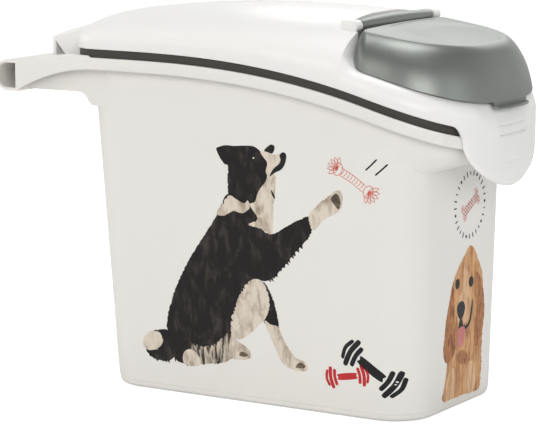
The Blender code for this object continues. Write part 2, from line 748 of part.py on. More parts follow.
def make_lid(finish):
    rings = [lid_ring(ring, inset, 0.0, 0.0) for ring, inset in enumerate(LID_RINGS)][::-1]
    rings.append(lip_ring(0.0, LIP_BAND))
    rings.append(lip_ring(0.0, LIP_EDGE))
    rings.append(lip_ring(LIP_EDGE, 0.0))
    rings.append(lip_ring(LIP_FLANGE, 0.0))
    rings.append(lip_ring(LIP_FLANGE, LIP_FLANGE_WALL))
    rings.append(lip_ring(LID_WALL, LIP_FLANGE_WALL))
    rings += [lid_ring(ring, inset, LID_WALL, LID_WALL) for ring, inset in enumerate(LID_RINGS)]
    lid = loft("lid", rings, finish)
    join(lid, spout_column("collar", COLLAR_WALL, -0.5 * LID_WALL, COLLAR_HEIGHT))
    join(lid, spout_column("spout", 0.0, SPOUT_LOW, SPOUT_HIGH), "DIFFERENCE")
    join(lid, make_tab())
    join(lid, make_hood())
    for side in (-1.0, 1.0):
        join(lid, make_ear(side))
    shade(lid)
    return lid


# ---- Spout cap ----

CAP_PROFILE = ((0.0, 0.0), (0.08, 0.0007), (0.35, 0.0038), (0.62, 0.0098), (0.82, 0.0160), (0.93, 0.0208),
               (0.985, 0.0260), (1.0, 0.0330))
CAP_TOP_REACH = min(CAP_HALF, 0.9324 * (CAP_FRONT_X - CAP_REAR_X))
CAP_TOP_RINGS = tuple(CAP_TOP_REACH * share for share in (0.4638, 0.6377, 0.8116))
CAP_REAR_LEAN = 0.12      # how far the rear wall moves for each step inwards
CAP_TOP_LEAN = 0.22


def cap_outline(inset, rear_share):
    """Plan of the cap; its rear wall leans less than its sides."""
    half = CAP_HALF - inset
    front = (max(0.002, CAP_FRONT_LENGTH - inset), half - FRONT_FLAT, CAP_FRONT_POWER)
    rear_radius = max(0.001, CAP_REAR_RADIUS - CAP_CORNER * inset)
    return outline(CAP_REAR_X + inset * rear_share, CAP_FRONT_X - inset, half, rear_radius, front)


def cap_top(x, y):
    return CAP_TOP_Z - CAP_TOP_FALL * (x - CAP_REAR_X) + CAP_CROWN * (1.0 - (y / CAP_HALF) ** 2)


def cap_ring(share, inset, shift):
    """One ring of the cap's skin at a share of its height; shift makes the inner skin."""
    lean = CAP_REAR_LEAN if inset < CAP_TOP_RINGS[0] else CAP_TOP_LEAN
    plan = cap_outline(inset, lean)
    placed = cap_outline(inset + shift, lean)
    foot = cap_outline(0.0, 0.0)
    points = []
    for (x, y), (at_x, at_y), (foot_x, _) in zip(plan, placed, foot):
        low = deck_z(foot_x) + CAP_LIFT
        z = low + (cap_top(x, y) - low) * share
        if shift:
            at_x += shift * CAP_REAR_WALL if x < CAP_REAR_X + CAP_REAR_ZONE and inset < CAP_LOW_INSET else 0.0
            z -= shift * smooth(share * CAP_EASE)
        points.append((at_x, at_y, z))
    return points


def make_cap_lip():
    """Finger lip at the foot of the cap's front wall."""
    sections = []
    count = 10
    low = lip_z(FRONT_X) + LIP_BAND + CAP_LIP_RISE
    high = low + CAP_LIP_WALL
    for step in range(count + 1):
        share = 2.0 * step / count - 1.0
        y = CAP_LIP_HALF * share
        edge = CAP_FRONT_X - CAP_FRONT_LENGTH + front_reach(y, CAP_HALF, CAP_FRONT_LENGTH, CAP_FRONT_POWER)
        front = edge + CAP_LIP_REACH * math.sqrt(max(0.0, 1.0 - share ** 2)) + CAP_LIP_END
        rear = edge - 0.5 * CAP_WALL
        top = deck_z(edge) + CAP_LIP_TOP
        sections.append([(rear, y, low), (front, y, low), (front, y, high), (edge - CAP_LIP_FILLET, y, high),
                         (edge - 1.5 * CAP_LIP_FILLET, y, top), (rear, y, top)])
    return strip("lip", sections)


def make_cap(finish):
    skin = [(1.0, inset) for inset in reversed(CAP_TOP_RINGS)] + list(reversed(CAP_PROFILE))
    rings = [cap_ring(share, inset, 0.0) for share, inset in skin]
    rings += [cap_ring(share, inset, CAP_WALL) for share, inset in reversed(skin)]
    cap = loft("spout_cap", rings, finish)
    count = 8
    stations = []
    for step in range(count + 1):
        share = 2.0 * step / count - 1.0
        stations.append((KNUCKLE_HALF * share, KNUCKLE_MID + (KNUCKLE_END - KNUCKLE_MID) * share ** 2))
    knuckle = turned_bar("knuckle", stations, CAP_HINGE_X, CAP_HINGE_Z)
    pin = KNUCKLE_HALF + PIN_LENGTH
    join(knuckle, turned_bar("pin", [(-pin, PIN_RADIUS), (pin, PIN_RADIUS)], CAP_HINGE_X, CAP_HINGE_Z, 12))
    low = (CAP_HINGE_X, -KNUCKLE_HALF + CUT, CAP_TOP_Z - WEB_PLATE)
    join(knuckle, block("web", low, (CAP_REAR_X + WEB_REACH, KNUCKLE_HALF - CUT, CAP_TOP_Z - WEB_DROP)))
    join(cap, knuckle)
    join(cap, make_cap_lip())
    shade(cap)
    return cap


def move_origin(made, place):
    """Puts an object's origin on its joint axis and leaves its mesh where it is."""
    place = Vector(place)
    made.data.transform(made.matrix_world.inverted())
    for vertex in made.data.vertices:
        vertex.co -= place
    made.location = place


def main():
    clear_scene()
    white = material("tub_plastic", (0.80, 0.79, 0.76), 0.38)
    lid_white = material("lid_plastic", (0.84, 0.83, 0.81), 0.33)
    rubber = material("seal_rubber", (0.035, 0.033, 0.028), 0.60)
    grey = material("cap_plastic", (0.16, 0.165, 0.155), 0.34)
    make_tub(white)
    seal = make_seal(rubber)
    lid = make_lid(lid_white)
    cap = make_cap(grey)
    move_origin(lid, (HINGE_X, 0.0, HINGE_Z))
    move_origin(cap, (CAP_HINGE_X, 0.0, CAP_HINGE_Z))
    seal.parent = lid
    seal.matrix_parent_inverse = Matrix.Translation(lid.location).inverted()


main()
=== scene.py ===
import json
import math
import random

import bmesh
import bpy
from mathutils import Matrix, Vector
from mathutils.bvhtree import BVHTree
from mathutils.geometry import delaunay_2d_cdt


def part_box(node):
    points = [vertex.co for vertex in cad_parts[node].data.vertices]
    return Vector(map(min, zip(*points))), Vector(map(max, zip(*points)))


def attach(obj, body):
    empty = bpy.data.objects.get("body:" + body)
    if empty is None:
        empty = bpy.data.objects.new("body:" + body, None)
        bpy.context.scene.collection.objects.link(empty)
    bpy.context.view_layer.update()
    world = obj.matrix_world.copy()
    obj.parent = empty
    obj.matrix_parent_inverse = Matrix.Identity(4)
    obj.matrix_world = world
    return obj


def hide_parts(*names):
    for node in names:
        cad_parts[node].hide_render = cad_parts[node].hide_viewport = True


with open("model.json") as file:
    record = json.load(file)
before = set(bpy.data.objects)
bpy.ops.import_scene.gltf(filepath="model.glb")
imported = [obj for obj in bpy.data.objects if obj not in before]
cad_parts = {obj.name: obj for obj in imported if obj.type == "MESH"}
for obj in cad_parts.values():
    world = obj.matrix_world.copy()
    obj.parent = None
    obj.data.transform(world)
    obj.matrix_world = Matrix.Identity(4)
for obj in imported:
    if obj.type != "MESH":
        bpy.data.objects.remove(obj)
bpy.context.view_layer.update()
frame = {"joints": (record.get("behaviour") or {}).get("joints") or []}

# Pet food bin: tub with a rear handle, dark rim seal, domed lid with a snap tab, grey spout cap, wall prints.
# +X points to the spout, +Z is up, metres.

lidLow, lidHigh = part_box("lid")
tubLow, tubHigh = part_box("tub")
capLow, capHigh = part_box("spout_cap")
sealLow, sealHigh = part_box("rim_seal")
hingeAt = {joint["name"]: Vector(joint["pos_m"]) for joint in frame["joints"]}


def smoothStep(t):
    t = min(1.0, max(0.0, t))
    return t * t * (3.0 - 2.0 * t)


def mixed(a, b, t):
    return a + (b - a) * t


rim = {
    "rearX": -0.164, "frontX": lidHigh.x - 0.0004, "half": lidHigh.y, "rearRadius": 0.030,
    "frontLength": 0.0954, "frontFlat": 0.006, "frontPower": 2.35,
    "height": 0.3118, "fallX": -0.10, "fall": 0.821, "fallPower": 2.45,   # the rim line seen from the side
}


def rimZ(x):
    return rim["height"] - rim["fall"] * max(0.0, x - rim["fallX"]) ** rim["fallPower"]


def planColumns(sideStops, frontTurns, rearSteps=12, sideSteps=44):
    columns = [("flat", 0.0), ("flat", 0.45), ("flat", 0.8)]
    columns += [("rear", 0.5 * math.pi * step / rearSteps) for step in range(rearSteps + 1)]
    columns += [("side", step / sideSteps) for step in range(1, sideSteps + 1)]
    columns += [("at", x) for x in sideStops]
    columns += [("front", turn) for turn in frontTurns]
    columns.append(("middle", 0.0))
    return columns


def planPoint(plan, column, inset=0.0, shift=0.0, sideEnd=None):
    kind, value = column
    half = plan["half"] - inset
    rearX = plan["rearX"] + inset
    frontX = plan["frontX"] - inset
    rearRadius = max(0.001, plan["rearRadius"] - inset)
    length = max(0.001, plan["frontLength"] - inset)
    flat = plan["frontFlat"]
    width = half - flat if plan.get("wide", True) else max(0.001, plan["frontWidth"] - inset)
    stop = frontX - length
    if kind == "flat":
        return rearX, value * (half - rearRadius)
    if kind == "rear":
        turn = math.pi - value
        return rearX + rearRadius + rearRadius * math.cos(turn), half - rearRadius + rearRadius * math.sin(turn)
    if kind == "side":
        end = stop if sideEnd is None else sideEnd
        return mixed(rearX + rearRadius, end, value), half
    if kind == "at":
        return value - shift, half
    if kind == "front":
        power = plan["frontPower"]
        across = max(0.0, math.sin(value)) ** (2.0 / power)
        return stop + length * max(0.0, math.cos(value)) ** (2.0 / power), half - width + width * across
    return frontX, 0.0


def bothSides(points):
    return points + [(p[0], -p[1], *p[2:]) for p in reversed(points[1:-1])]


def meshFrom(name, bm, angle=32.0):
    bmesh.ops.recalc_face_normals(bm, faces=bm.faces)
    data = bpy.data.meshes.new(name)
    bm.to_mesh(data)
    bm.free()
    made = bpy.data.objects.new(name, data)
    bpy.context.scene.collection.objects.link(made)
    data.shade_smooth()
    data.set_sharp_from_angle(angle=math.radians(angle))
    return made


def capRing(bm, ring, flip):
    half = len(ring) // 2
    faces = [[ring[step] for step in range(-3, 4)]]
    for step in range(3, half - 2):
        faces.append([ring[step], ring[-step], ring[-step - 1], ring[step + 1]][::-1])
    faces.append([ring[step] for step in range(half - 2, half + 3)])
    for corners in faces:
        bm.faces.new(corners[::-1] if flip else corners)


def loftShell(name, rings, angle=32.0):
    bm = bmesh.new()
    made = [[bm.verts.new(point) for point in ring] for ring in rings]
    for low, high in zip(made, made[1:]):
        count = len(low)
        for step in range(count):
            after = (step + 1) % count
            bm.faces.new((low[step], low[after], high[after], high[step]))
    capRing(bm, made[0], True)
    capRing(bm, made[-1], False)
    return meshFrom(name, bm, angle)


def barMesh(name, sections, angle=32.0, closed=False):
    bm = bmesh.new()
    made = [[bm.verts.new(point) for point in section] for section in sections]
    pairs = list(zip(made, made[1:])) + ([(made[-1], made[0])] if closed else [])
    for low, high in pairs:
        count = len(low)
        for step in range(count):
            after = (step + 1) % count
            bm.faces.new((low[step], low[after], high[after], high[step]))
    if not closed:
        bm.faces.new(made[0][::-1])
        bm.faces.new(made[-1])
    return meshFrom(name, bm, angle)


def boxMesh(name, low, high):
    sections = []
    for x in (low[0], high[0]):
        sections.append([(x, low[1], low[2]), (x, high[1], low[2]), (x, high[1], high[2]),
                         (x, low[1], high[2])])
    return barMesh(name, sections)


def roundBar(name, stations, centre, segments=40):
    sections = []
    for y, radius in stations:
        turns = [2.0 * math.pi * step / segments for step in range(segments)]
        sections.append([(centre.x + radius * math.cos(t), y,
                          centre.z + radius * math.sin(t)) for t in turns])
    return barMesh(name, sections)


def settle(piece):
    # applies every modifier and leaves a plain mesh
    graph = bpy.context.evaluated_depsgraph_get()
    data = bpy.data.meshes.new_from_object(piece.evaluated_get(graph), depsgraph=graph)
    piece.modifiers.clear()
    old = piece.data
    piece.data = data
    data.name = piece.name
    bpy.data.meshes.remove(old)
    return piece


def softened(piece, width, segments=2, angle=40.0):
    bevel = piece.modifiers.new("edges", "BEVEL")
    bevel.width = width
    bevel.segments = segments
    bevel.limit_method = "ANGLE"
    bevel.angle_limit = math.radians(angle)
    bevel.harden_normals = False
    return settle(piece)


def combine(piece, others, operation="UNION"):
    group = bpy.data.collections.new("tools")
    bpy.context.scene.collection.children.link(group)
    for other in others:
        for home in list(other.users_collection):
            home.objects.unlink(other)
        group.objects.link(other)
    cut = piece.modifiers.new("combine", "BOOLEAN")
    cut.operation = operation
    cut.solver = "EXACT"
    cut.operand_type = "COLLECTION"
    cut.collection = group
    settle(piece)
    for other in others:
        bpy.data.objects.remove(other, do_unlink=True)
    bpy.data.collections.remove(group)
    bm = bmesh.new()
    bm.from_mesh(piece.data)
    bmesh.ops.remove_doubles(bm, verts=bm.verts, dist=2e-6)
    bmesh.ops.dissolve_degenerate(bm, edges=bm.edges, dist=2e-6)
    bm.to_mesh(piece.data)
    bm.free()
    return piece


def finishShading(piece, angle=32.0):
    piece.data.shade_smooth()
    piece.data.set_sharp_from_angle(angle=math.radians(angle))
    return piece


def grainGroup():
    group = bpy.data.node_groups.new("plasticGrain", "ShaderNodeTree")
    face = group.interface
    for name, value in (("Grain Size", 900.0), ("Flow Size", 7.0), ("Tone", 0.02), ("Rough Low", 0.3),
                        ("Rough High", 0.4)):
        face.new_socket(name, in_out="INPUT", socket_type="NodeSocketFloat").default_value = value
    face.new_socket("Color", in_out="INPUT", socket_type="NodeSocketColor")
    for name, kind in (("Color", "NodeSocketColor"), ("Roughness", "NodeSocketFloat"),
                       ("Height", "NodeSocketFloat")):
        face.new_socket(name, in_out="OUTPUT", socket_type=kind)
    nodes, links = group.nodes, group.links
    given, out = nodes.new("NodeGroupInput"), nodes.new("NodeGroupOutput")
    where = nodes.new("ShaderNodeTexCoord")
    fine = nodes.new("ShaderNodeTexNoise")
    fine.inputs["Detail"].default_value = 3.0
    flow = nodes.new("ShaderNodeTexNoise")
    flow.inputs["Detail"].default_value = 2.0
    for node, size in ((fine, "Grain Size"), (flow, "Flow Size")):
        links.new(where.outputs["Object"], node.inputs["Vector"])
        links.new(given.outputs[size], node.inputs["Scale"])
    spread = nodes.new("ShaderNodeMapRange")
    links.new(flow.outputs["Fac"], spread.inputs["Value"])
    links.new(given.outputs["Rough Low"], spread.inputs["To Min"])
    links.new(given.outputs["Rough High"], spread.inputs["To Max"])
    tone = nodes.new("ShaderNodeMath")
    tone.operation = "MULTIPLY_ADD"
    centred = nodes.new("ShaderNodeMath")
    centred.operation = "SUBTRACT"
    centred.inputs[1].default_value = 0.5
    links.new(flow.outputs["Fac"], centred.inputs[0])
    links.new(centred.outputs[0], tone.inputs[0])
    links.new(given.outputs["Tone"], tone.inputs[1])
    tone.inputs[2].default_value = 1.0
    tint = nodes.new("ShaderNodeMix")
    tint.data_type = "RGBA"
    tint.blend_type = "MULTIPLY"
    tint.inputs["Factor"].default_value = 1.0
    links.new(given.outputs["Color"], tint.inputs[6])
    links.new(tone.outputs[0], tint.inputs[7])
    links.new(tint.outputs[2], out.inputs["Color"])
    links.new(spread.outputs["Result"], out.inputs["Roughness"])
    links.new(fine.outputs["Fac"], out.inputs["Height"])
    return group


def strandGroup():
    group = bpy.data.node_groups.new("printedStrands", "ShaderNodeTree")
    face = group.interface
    face.new_socket("Dark", in_out="INPUT", socket_type="NodeSocketColor")
    face.new_socket("Light", in_out="INPUT", socket_type="NodeSocketColor")
    for name, value in (("Size", 90.0), ("Bias", 0.5), ("Contrast", 0.2)):
        face.new_socket(name, in_out="INPUT", socket_type="NodeSocketFloat").default_value = value
    face.new_socket("Slant", in_out="INPUT", socket_type="NodeSocketVector")
    face.new_socket("Color", in_out="OUTPUT", socket_type="NodeSocketColor")
    nodes, links = group.nodes, group.links
    given, out = nodes.new("NodeGroupInput"), nodes.new("NodeGroupOutput")
    where = nodes.new("ShaderNodeTexCoord")
    turned = nodes.new("ShaderNodeVectorMath")
    turned.operation = "MULTIPLY"
    links.new(where.outputs["Object"], turned.inputs[0])
    links.new(given.outputs["Slant"], turned.inputs[1])
    strands = nodes.new("ShaderNodeTexNoise")
    strands.inputs["Detail"].default_value = 5.0
    strands.inputs["Roughness"].default_value = 0.62
    strands.inputs["Distortion"].default_value = 0.5
    links.new(turned.outputs[0], strands.inputs["Vector"])
    links.new(given.outputs["Size"], strands.inputs["Scale"])
    low = nodes.new("ShaderNodeMath")
    low.operation = "SUBTRACT"
    links.new(given.outputs["Bias"], low.inputs[0])
    links.new(given.outputs["Contrast"], low.inputs[1])
    high = nodes.new("ShaderNodeMath")
    links.new(given.outputs["Bias"], high.inputs[0])
    links.new(given.outputs["Contrast"], high.inputs[1])
    ramp = nodes.new("ShaderNodeMapRange")
    ramp.interpolation_type = "SMOOTHSTEP"
    links.new(strands.outputs["Fac"], ramp.inputs["Value"])
    links.new(low.outputs[0], ramp.inputs["From Min"])
    links.new(high.outputs[0], ramp.inputs["From Max"])
    blend = nodes.new("ShaderNodeMix")
    blend.data_type = "RGBA"
    links.new(ramp.outputs["Result"], blend.inputs["Factor"])
    links.new(given.outputs["Dark"], blend.inputs[6])
    links.new(given.outputs["Light"], blend.inputs[7])
    links.new(blend.outputs[2], out.inputs["Color"])
    return group


plasticGrain = grainGroup()
printedStrands = strandGroup()


def plastic(name, look):
    made = bpy.data.materials.new(name)
    made.use_nodes = True
    nodes, links = made.node_tree.nodes, made.node_tree.links
    shader = nodes["Principled BSDF"]
    grain = nodes.new("ShaderNodeGroup")
    grain.node_tree = plasticGrain
    grain.inputs["Color"].default_value = (*look["color"], 1.0)
    for name, key in (("Grain Size", "grainSize"), ("Flow Size", "flowSize"), ("Tone", "tone"),
                      ("Rough Low", "roughLow"), ("Rough High", "roughHigh")):
        grain.inputs[name].default_value = look[key]
    links.new(grain.outputs["Color"], shader.inputs["Base Color"])
    links.new(grain.outputs["Roughness"], shader.inputs["Roughness"])
    bump = nodes.new("ShaderNodeBump")
    bump.inputs["Strength"].default_value = look["bump"]
    bump.inputs["Distance"].default_value = look["bumpDepth"]
    links.new(grain.outputs["Height"], bump.inputs["Height"])
    links.new(bump.outputs["Normal"], shader.inputs["Normal"])
    for socket, value in look.get("shader", {}).items():
        shader.inputs[socket].default_value = value
    return made


tubLook = {
    "color": (0.80, 0.785, 0.745), "grainSize": 1100.0, "flowSize": 6.0, "tone": 0.03, "roughLow": 0.30,
    "roughHigh": 0.42, "bump": 0.12, "bumpDepth": 0.0004, "shader": {"IOR": 1.49, "Specular IOR Level": 0.45},
}
lidLook = {
    "color": (0.84, 0.835, 0.82), "grainSize": 1300.0, "flowSize": 8.0, "tone": 0.02, "roughLow": 0.24,
    "roughHigh": 0.34, "bump": 0.08, "bumpDepth": 0.0004, "shader": {"IOR": 1.49, "Specular IOR Level": 0.5},
}
sealLook = {
    "color": (0.040, 0.038, 0.031), "grainSize": 700.0, "flowSize": 30.0, "tone": 0.25, "roughLow": 0.5,
    "roughHigh": 0.7, "bump": 0.3, "bumpDepth": 0.0005, "shader": {"IOR": 1.45},
}
capLook = {
    "color": (0.232, 0.245, 0.23), "grainSize": 1700.0, "flowSize": 12.0, "tone": 0.10, "roughLow": 0.30,
    "roughHigh": 0.38, "bump": 0.25, "bumpDepth": 0.0004, "shader": {"Metallic": 0.75, "IOR": 1.5},
}
tubPlastic = plastic("tubPlastic", tubLook)
lidPlastic = plastic("lidPlastic", lidLook)
sealRubber = plastic("sealRubber", sealLook)
capPlastic = plastic("capMetallicPlastic", capLook)


def ink(name, look):
    made = bpy.data.materials.new(name)
    made.use_nodes = True
    nodes, links = made.node_tree.nodes, made.node_tree.links
    shader = nodes["Principled BSDF"]
    strands = nodes.new("ShaderNodeGroup")
    strands.node_tree = printedStrands
    strands.inputs["Dark"].default_value = (*look["dark"], 1.0)
    strands.inputs["Light"].default_value = (*look["light"], 1.0)
    strands.inputs["Size"].default_value = look["size"]
    strands.inputs["Bias"].default_value = look["bias"]
    strands.inputs["Contrast"].default_value = look["contrast"]
    strands.inputs["Slant"].default_value = look["slant"]
    links.new(strands.outputs["Color"], shader.inputs["Base Color"])
    shader.inputs["Roughness"].default_value = 0.42
    shader.inputs["Specular IOR Level"].default_value = 0.22
    return made


print("materials ready")


tubShape = {
    "baseRearX": -0.142, "baseFrontX": 0.1905, "baseHalf": 0.0895, "baseRadius": 0.040,
    "neckRearX": -0.158, "neckFrontX": 0.1925, "neckHalf": 0.104, "neckRadius": 0.045,
    "wall": 0.0025, "floor": 0.003, "footRound": 0.0045, "footHeight": 0.0062, "footStep": 0.0005,
    "pourZ": 0.222, "pourSet": 0.012, "plate": 0.003, "skirt": 0.011, "edgeRound": 0.0008,
    "tabHalf": 0.0705, "tabSet": 0.0034, "tabRoom": 0.0085, "tabEase": 0.010,
}
evenTurns = [0.5 * math.pi * (1.0 - step / 44) for step in range(1, 45)]
tubColumns = planColumns([], evenTurns)


def bodyPlan(share):
    t = tubShape
    radius = mixed(t["baseRadius"], t["neckRadius"], share)
    return {
        "rearX": mixed(t["baseRearX"], t["neckRearX"], share),
        "frontX": mixed(t["baseFrontX"], t["neckFrontX"], share),
        "half": mixed(t["baseHalf"], t["neckHalf"], share), "rearRadius": radius, "frontLength": radius,
        "frontFlat": 0.0, "frontPower": 2.0, "wide": False, "frontWidth": radius,
    }


def mouthPlan():
    t = tubShape
    return {
        "rearX": t["neckRearX"], "frontX": rim["frontX"] + 0.0004 - t["pourSet"], "half": t["neckHalf"],
        "rearRadius": t["neckRadius"], "frontLength": rim["frontLength"] - t["pourSet"],
        "frontFlat": rim["frontFlat"], "frontPower": rim["frontPower"],
    }


def halfRing(plan, inset=0.0):
    return [planPoint(plan, column, inset) for column in tubColumns]


rimHalf = halfRing(rim)
sideEnd = rim["frontX"] - rim["frontLength"]


def rimHeights(half, drop=0.0):
    # by the ring's own x at the side, by its partner on the rim round the front
    heights = []
    for (x, _), (partnerX, _), column in zip(half, rimHalf, tubColumns):
        heights.append(rimZ(partnerX if column[0] in ("front", "middle") else x) - drop)
    return heights


def stepped(inset=0.0):
    # the rim's ring, stepped in behind the snap tab
    t = tubShape
    moved = []
    for outer, inner in zip(halfRing(rim, inset), halfRing(rim, inset + t["tabSet"])):
        share = smoothStep((t["tabHalf"] + t["tabRoom"] + t["tabEase"] - outer[1]) / t["tabEase"])
        share = share if outer[0] > 0.0 else 0.0
        moved.append((mixed(outer[0], inner[0], share), mixed(outer[1], inner[1], share)))
    return moved


def ringAt(half, heights):
    return bothSides([(x, y, z) for (x, y), z in zip(half, heights)])


def wallRings(inset, floorZ):
    # one skin of the tub, from its floor up to its mouth
    t = tubShape
    mouth = halfRing(mouthPlan(), inset)
    top = rimHeights(mouth, t["plate"])
    lowest = min(top)
    count = len(top)
    rings = []
    for step in range(7):   # rounded foot
        turn = 0.5 * math.pi * step / 6
        pull = t["footRound"] * (1.0 - math.sin(turn))
        rise = t["footRound"] * (1.0 - math.cos(turn))
        rings.append(ringAt(halfRing(bodyPlan(0.0), inset + t["footStep"] + pull), [floorZ + rise] * count))
    if inset == 0.0:
        rings.append(ringAt(halfRing(bodyPlan(0.0), t["footStep"]), [t["footHeight"]] * count))
        rings.append(ringAt(halfRing(bodyPlan(0.012), 0.0), [t["footHeight"] + 0.0007] * count))
    bend = (t["pourZ"] + inset) / lowest
    for step in range(1, 13):
        share = step / 12
        rings.append(ringAt(halfRing(bodyPlan(share), inset), [z * bend * share for z in top]))
    for rise, lean in ((0.10, 0.20), (0.2, 0.42), (0.32, 0.62), (0.46, 0.78), (0.62, 0.89), (0.8, 0.96),
                       (1.0, 1.0)):
        body = halfRing(bodyPlan(1.0), inset)
        heights = [mixed(z * bend, z, rise) for z in top]
        half = [(mixed(a, c, lean), mixed(b, d, lean)) for (a, b), (c, d) in zip(body, mouth)]
        rings.append(ringAt(half, heights))
    return rings


def makeTub():
    t = tubShape
    soft = t["edgeRound"]
    rings = wallRings(0.0, 0.0)
    top = rimHeights(rimHalf)
    rings.append(ringAt(stepped(t["wall"]), [z - t["plate"] for z in top]))
    rings.append(ringAt(stepped(t["wall"]), [z - t["skirt"] for z in top]))
    for inset, drop in ((soft, t["skirt"]), (0.3 * soft, t["skirt"] - 0.3 * soft), (0.0, t["skirt"] - soft),
                        (0.0, soft), (0.3 * soft, 0.3 * soft), (soft, 0.0)):
        rings.append(ringAt(stepped(inset), [z - drop for z in top]))
    lipEdge = halfRing(mouthPlan(), t["wall"] + 0.0005)
    rings.append(ringAt(lipEdge, rimHeights(lipEdge)))
    rings += wallRings(t["wall"], t["floor"])[::-1]
    return loftShell("binTub", rings)


handle = {
    "frontX": -0.2185, "rearX": tubLow.x, "top": 0.3050, "bottom": 0.2755, "wall": 0.003,
    "armTop": tubHigh.z, "armFrontX": -0.130, "armFall": 0.0066, "armWidth": 0.016, "armPlate": 0.003,
    "skirtWall": 0.0028, "skirtEnd": 0.0287, "raiseX": -0.137,
    "webY": 0.1005, "webWall": 0.0028, "webBottom": 0.2775, "webFillet": 0.012,
}


def armTop(x):
    h = handle
    share = (h["raiseX"] - x) / (h["raiseX"] - h["frontX"])
    return h["armTop"] - h["armFall"] * max(0.0, share) ** 1.6


def armSkirt(x):
    h = handle
    share = max(0.0, (h["armFrontX"] - x) / (h["armFrontX"] - h["frontX"]))
    start = rim["height"] - tubShape["skirt"]
    return start - (start - (armTop(h["frontX"]) - h["skirtEnd"])) * share ** 2.0


def makeArm(side):
    h = handle
    outer, inner, lined = (side * (tubHigh.y - inset) for inset in (0.0, h["armWidth"], h["skirtWall"]))
    stations = [mixed(h["armFrontX"], h["frontX"] - 0.004, step / 40) for step in range(41)]
    ramp = 0.004
    sections = []
    for x in stations:
        raised = smoothStep((h["raiseX"] + 0.5 * ramp - x) / ramp)
        top = mixed(rim["height"] - 0.0006, armTop(x), raised)
        plate, low = min(top, rim["height"]) - h["armPlate"], armSkirt(x) + 0.0002
        soft = 0.0008
        sections.append([(x, outer, low), (x, outer, top - soft),
                         (x, outer - side * 0.3 * soft, top - 0.3 * soft),
                         (x, outer - side * soft, top), (x, inner, top), (x, inner, plate), (x, lined, plate),
                         (x, lined, low)])
    arm = barMesh("arm", sections, angle=40.0)
    room = [ringAt(halfRing(rim, 0.0012), [rim["height"] + z] * len(tubColumns)) for z in (-0.00005, 0.02)]
    return combine(arm, [loftShell("room", room)], "DIFFERENCE")


def makeWeb(side):
    h = handle
    neckX = tubShape["neckRearX"]
    sections = []
    for step in range(31):
        x = mixed(neckX + 0.029, h["frontX"] - 0.002, step / 30)
        reach = max(0.0, 1.0 - (neckX + h["webFillet"] - x) / h["webFillet"])
        low = h["webBottom"] - h["webFillet"] * min(1.0, reach) ** 2.0
        top = min(armTop(x), rim["height"]) - 0.5 * h["armPlate"]
        outer, inner = side * h["webY"], side * (h["webY"] - h["webWall"])
        sections.append([(x, outer, low), (x, outer, top), (x, inner, top), (x, inner, low)])
    return barMesh("web", sections)


def gripSection(inset):
    h = handle
    top, low = h["top"] - inset, h["bottom"] + inset
    radius = 0.5 * (top - low)
    middle = h["rearX"] + inset + radius
    corner = 0.002 if inset else 0.0025
    points = []
    for step in range(5):
        turn = 0.5 * math.pi * step / 4
        points.append((h["frontX"] - inset - corner + corner * math.sin(turn),
                       low + corner - corner * math.cos(turn)))
    for step in range(5):
        turn = 0.5 * math.pi * step / 4
        points.append((h["frontX"] - inset - corner + corner * math.cos(turn),
                       top - corner + corner * math.sin(turn)))
    for step in range(33):
        turn = 0.5 * math.pi + math.pi * step / 32
        points.append((middle + radius * math.cos(turn), 0.5 * (top + low) + radius * math.sin(turn)))
    return points


def makeGrip():
    # hollow D-shaped bar, open at both ends
    h = handle
    end = tubHigh.y - 0.0002
    sections = []
    for inset, y in ((0.0, -end + 0.0009), (0.0, end - 0.0009), (0.0004, end - 0.0002), (0.0010, end),
                     (h["wall"] - 0.0006, end), (h["wall"], end - 0.0006), (h["wall"], 0.0),
                     (h["wall"], -end + 0.0006),
                     (h["wall"] - 0.0006, -end), (0.0010, -end), (0.0004, -end + 0.0002)):
        sections.append([(x, y, z) for x, z in gripSection(inset)])
    return barMesh("grip", sections, closed=True)


rail = {"radius": 0.0035, "half": 0.082, "lugs": (-0.058, 0.0, 0.058), "lugWidth": 0.008, "lugHeight": 0.0042}


def makeRail():
    at = hingeAt["lid_hinge"]
    half = rail["half"]
    bar = roundBar("rail", [(-half, rail["radius"]), (half, rail["radius"])], at, 32)
    lugs = []
    for y in rail["lugs"]:
        low = (at.x, y - 0.5 * rail["lugWidth"], at.z - 0.5 * rail["lugHeight"])
        high = (rim["rearX"] + 0.004, y + 0.5 * rail["lugWidth"], at.z + 0.5 * rail["lugHeight"])
        lugs.append(boxMesh("lug", low, high))
    return combine(bar, lugs)


tub = makeTub()
tubParts = [makeGrip(), makeRail()]
for side in (-1.0, 1.0):
    tubParts += [makeArm(side), makeWeb(side)]
combine(tub, tubParts)
finishShading(tub)
tub.data.materials.clear()
tub.data.materials.append(tubPlastic)
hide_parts("tub")
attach(tub, "tub")
print("tub ready", len(tub.data.polygons))


sealShape = {"width": 0.0056, "height": sealHigh.z - rim["height"] - 0.0003, "set": 0.0016, "gap": 0.0003}


def inputId(tree, name):
    return next(item.identifier for item in tree.interface.items_tree
                if item.name == name and item.in_out == "INPUT")


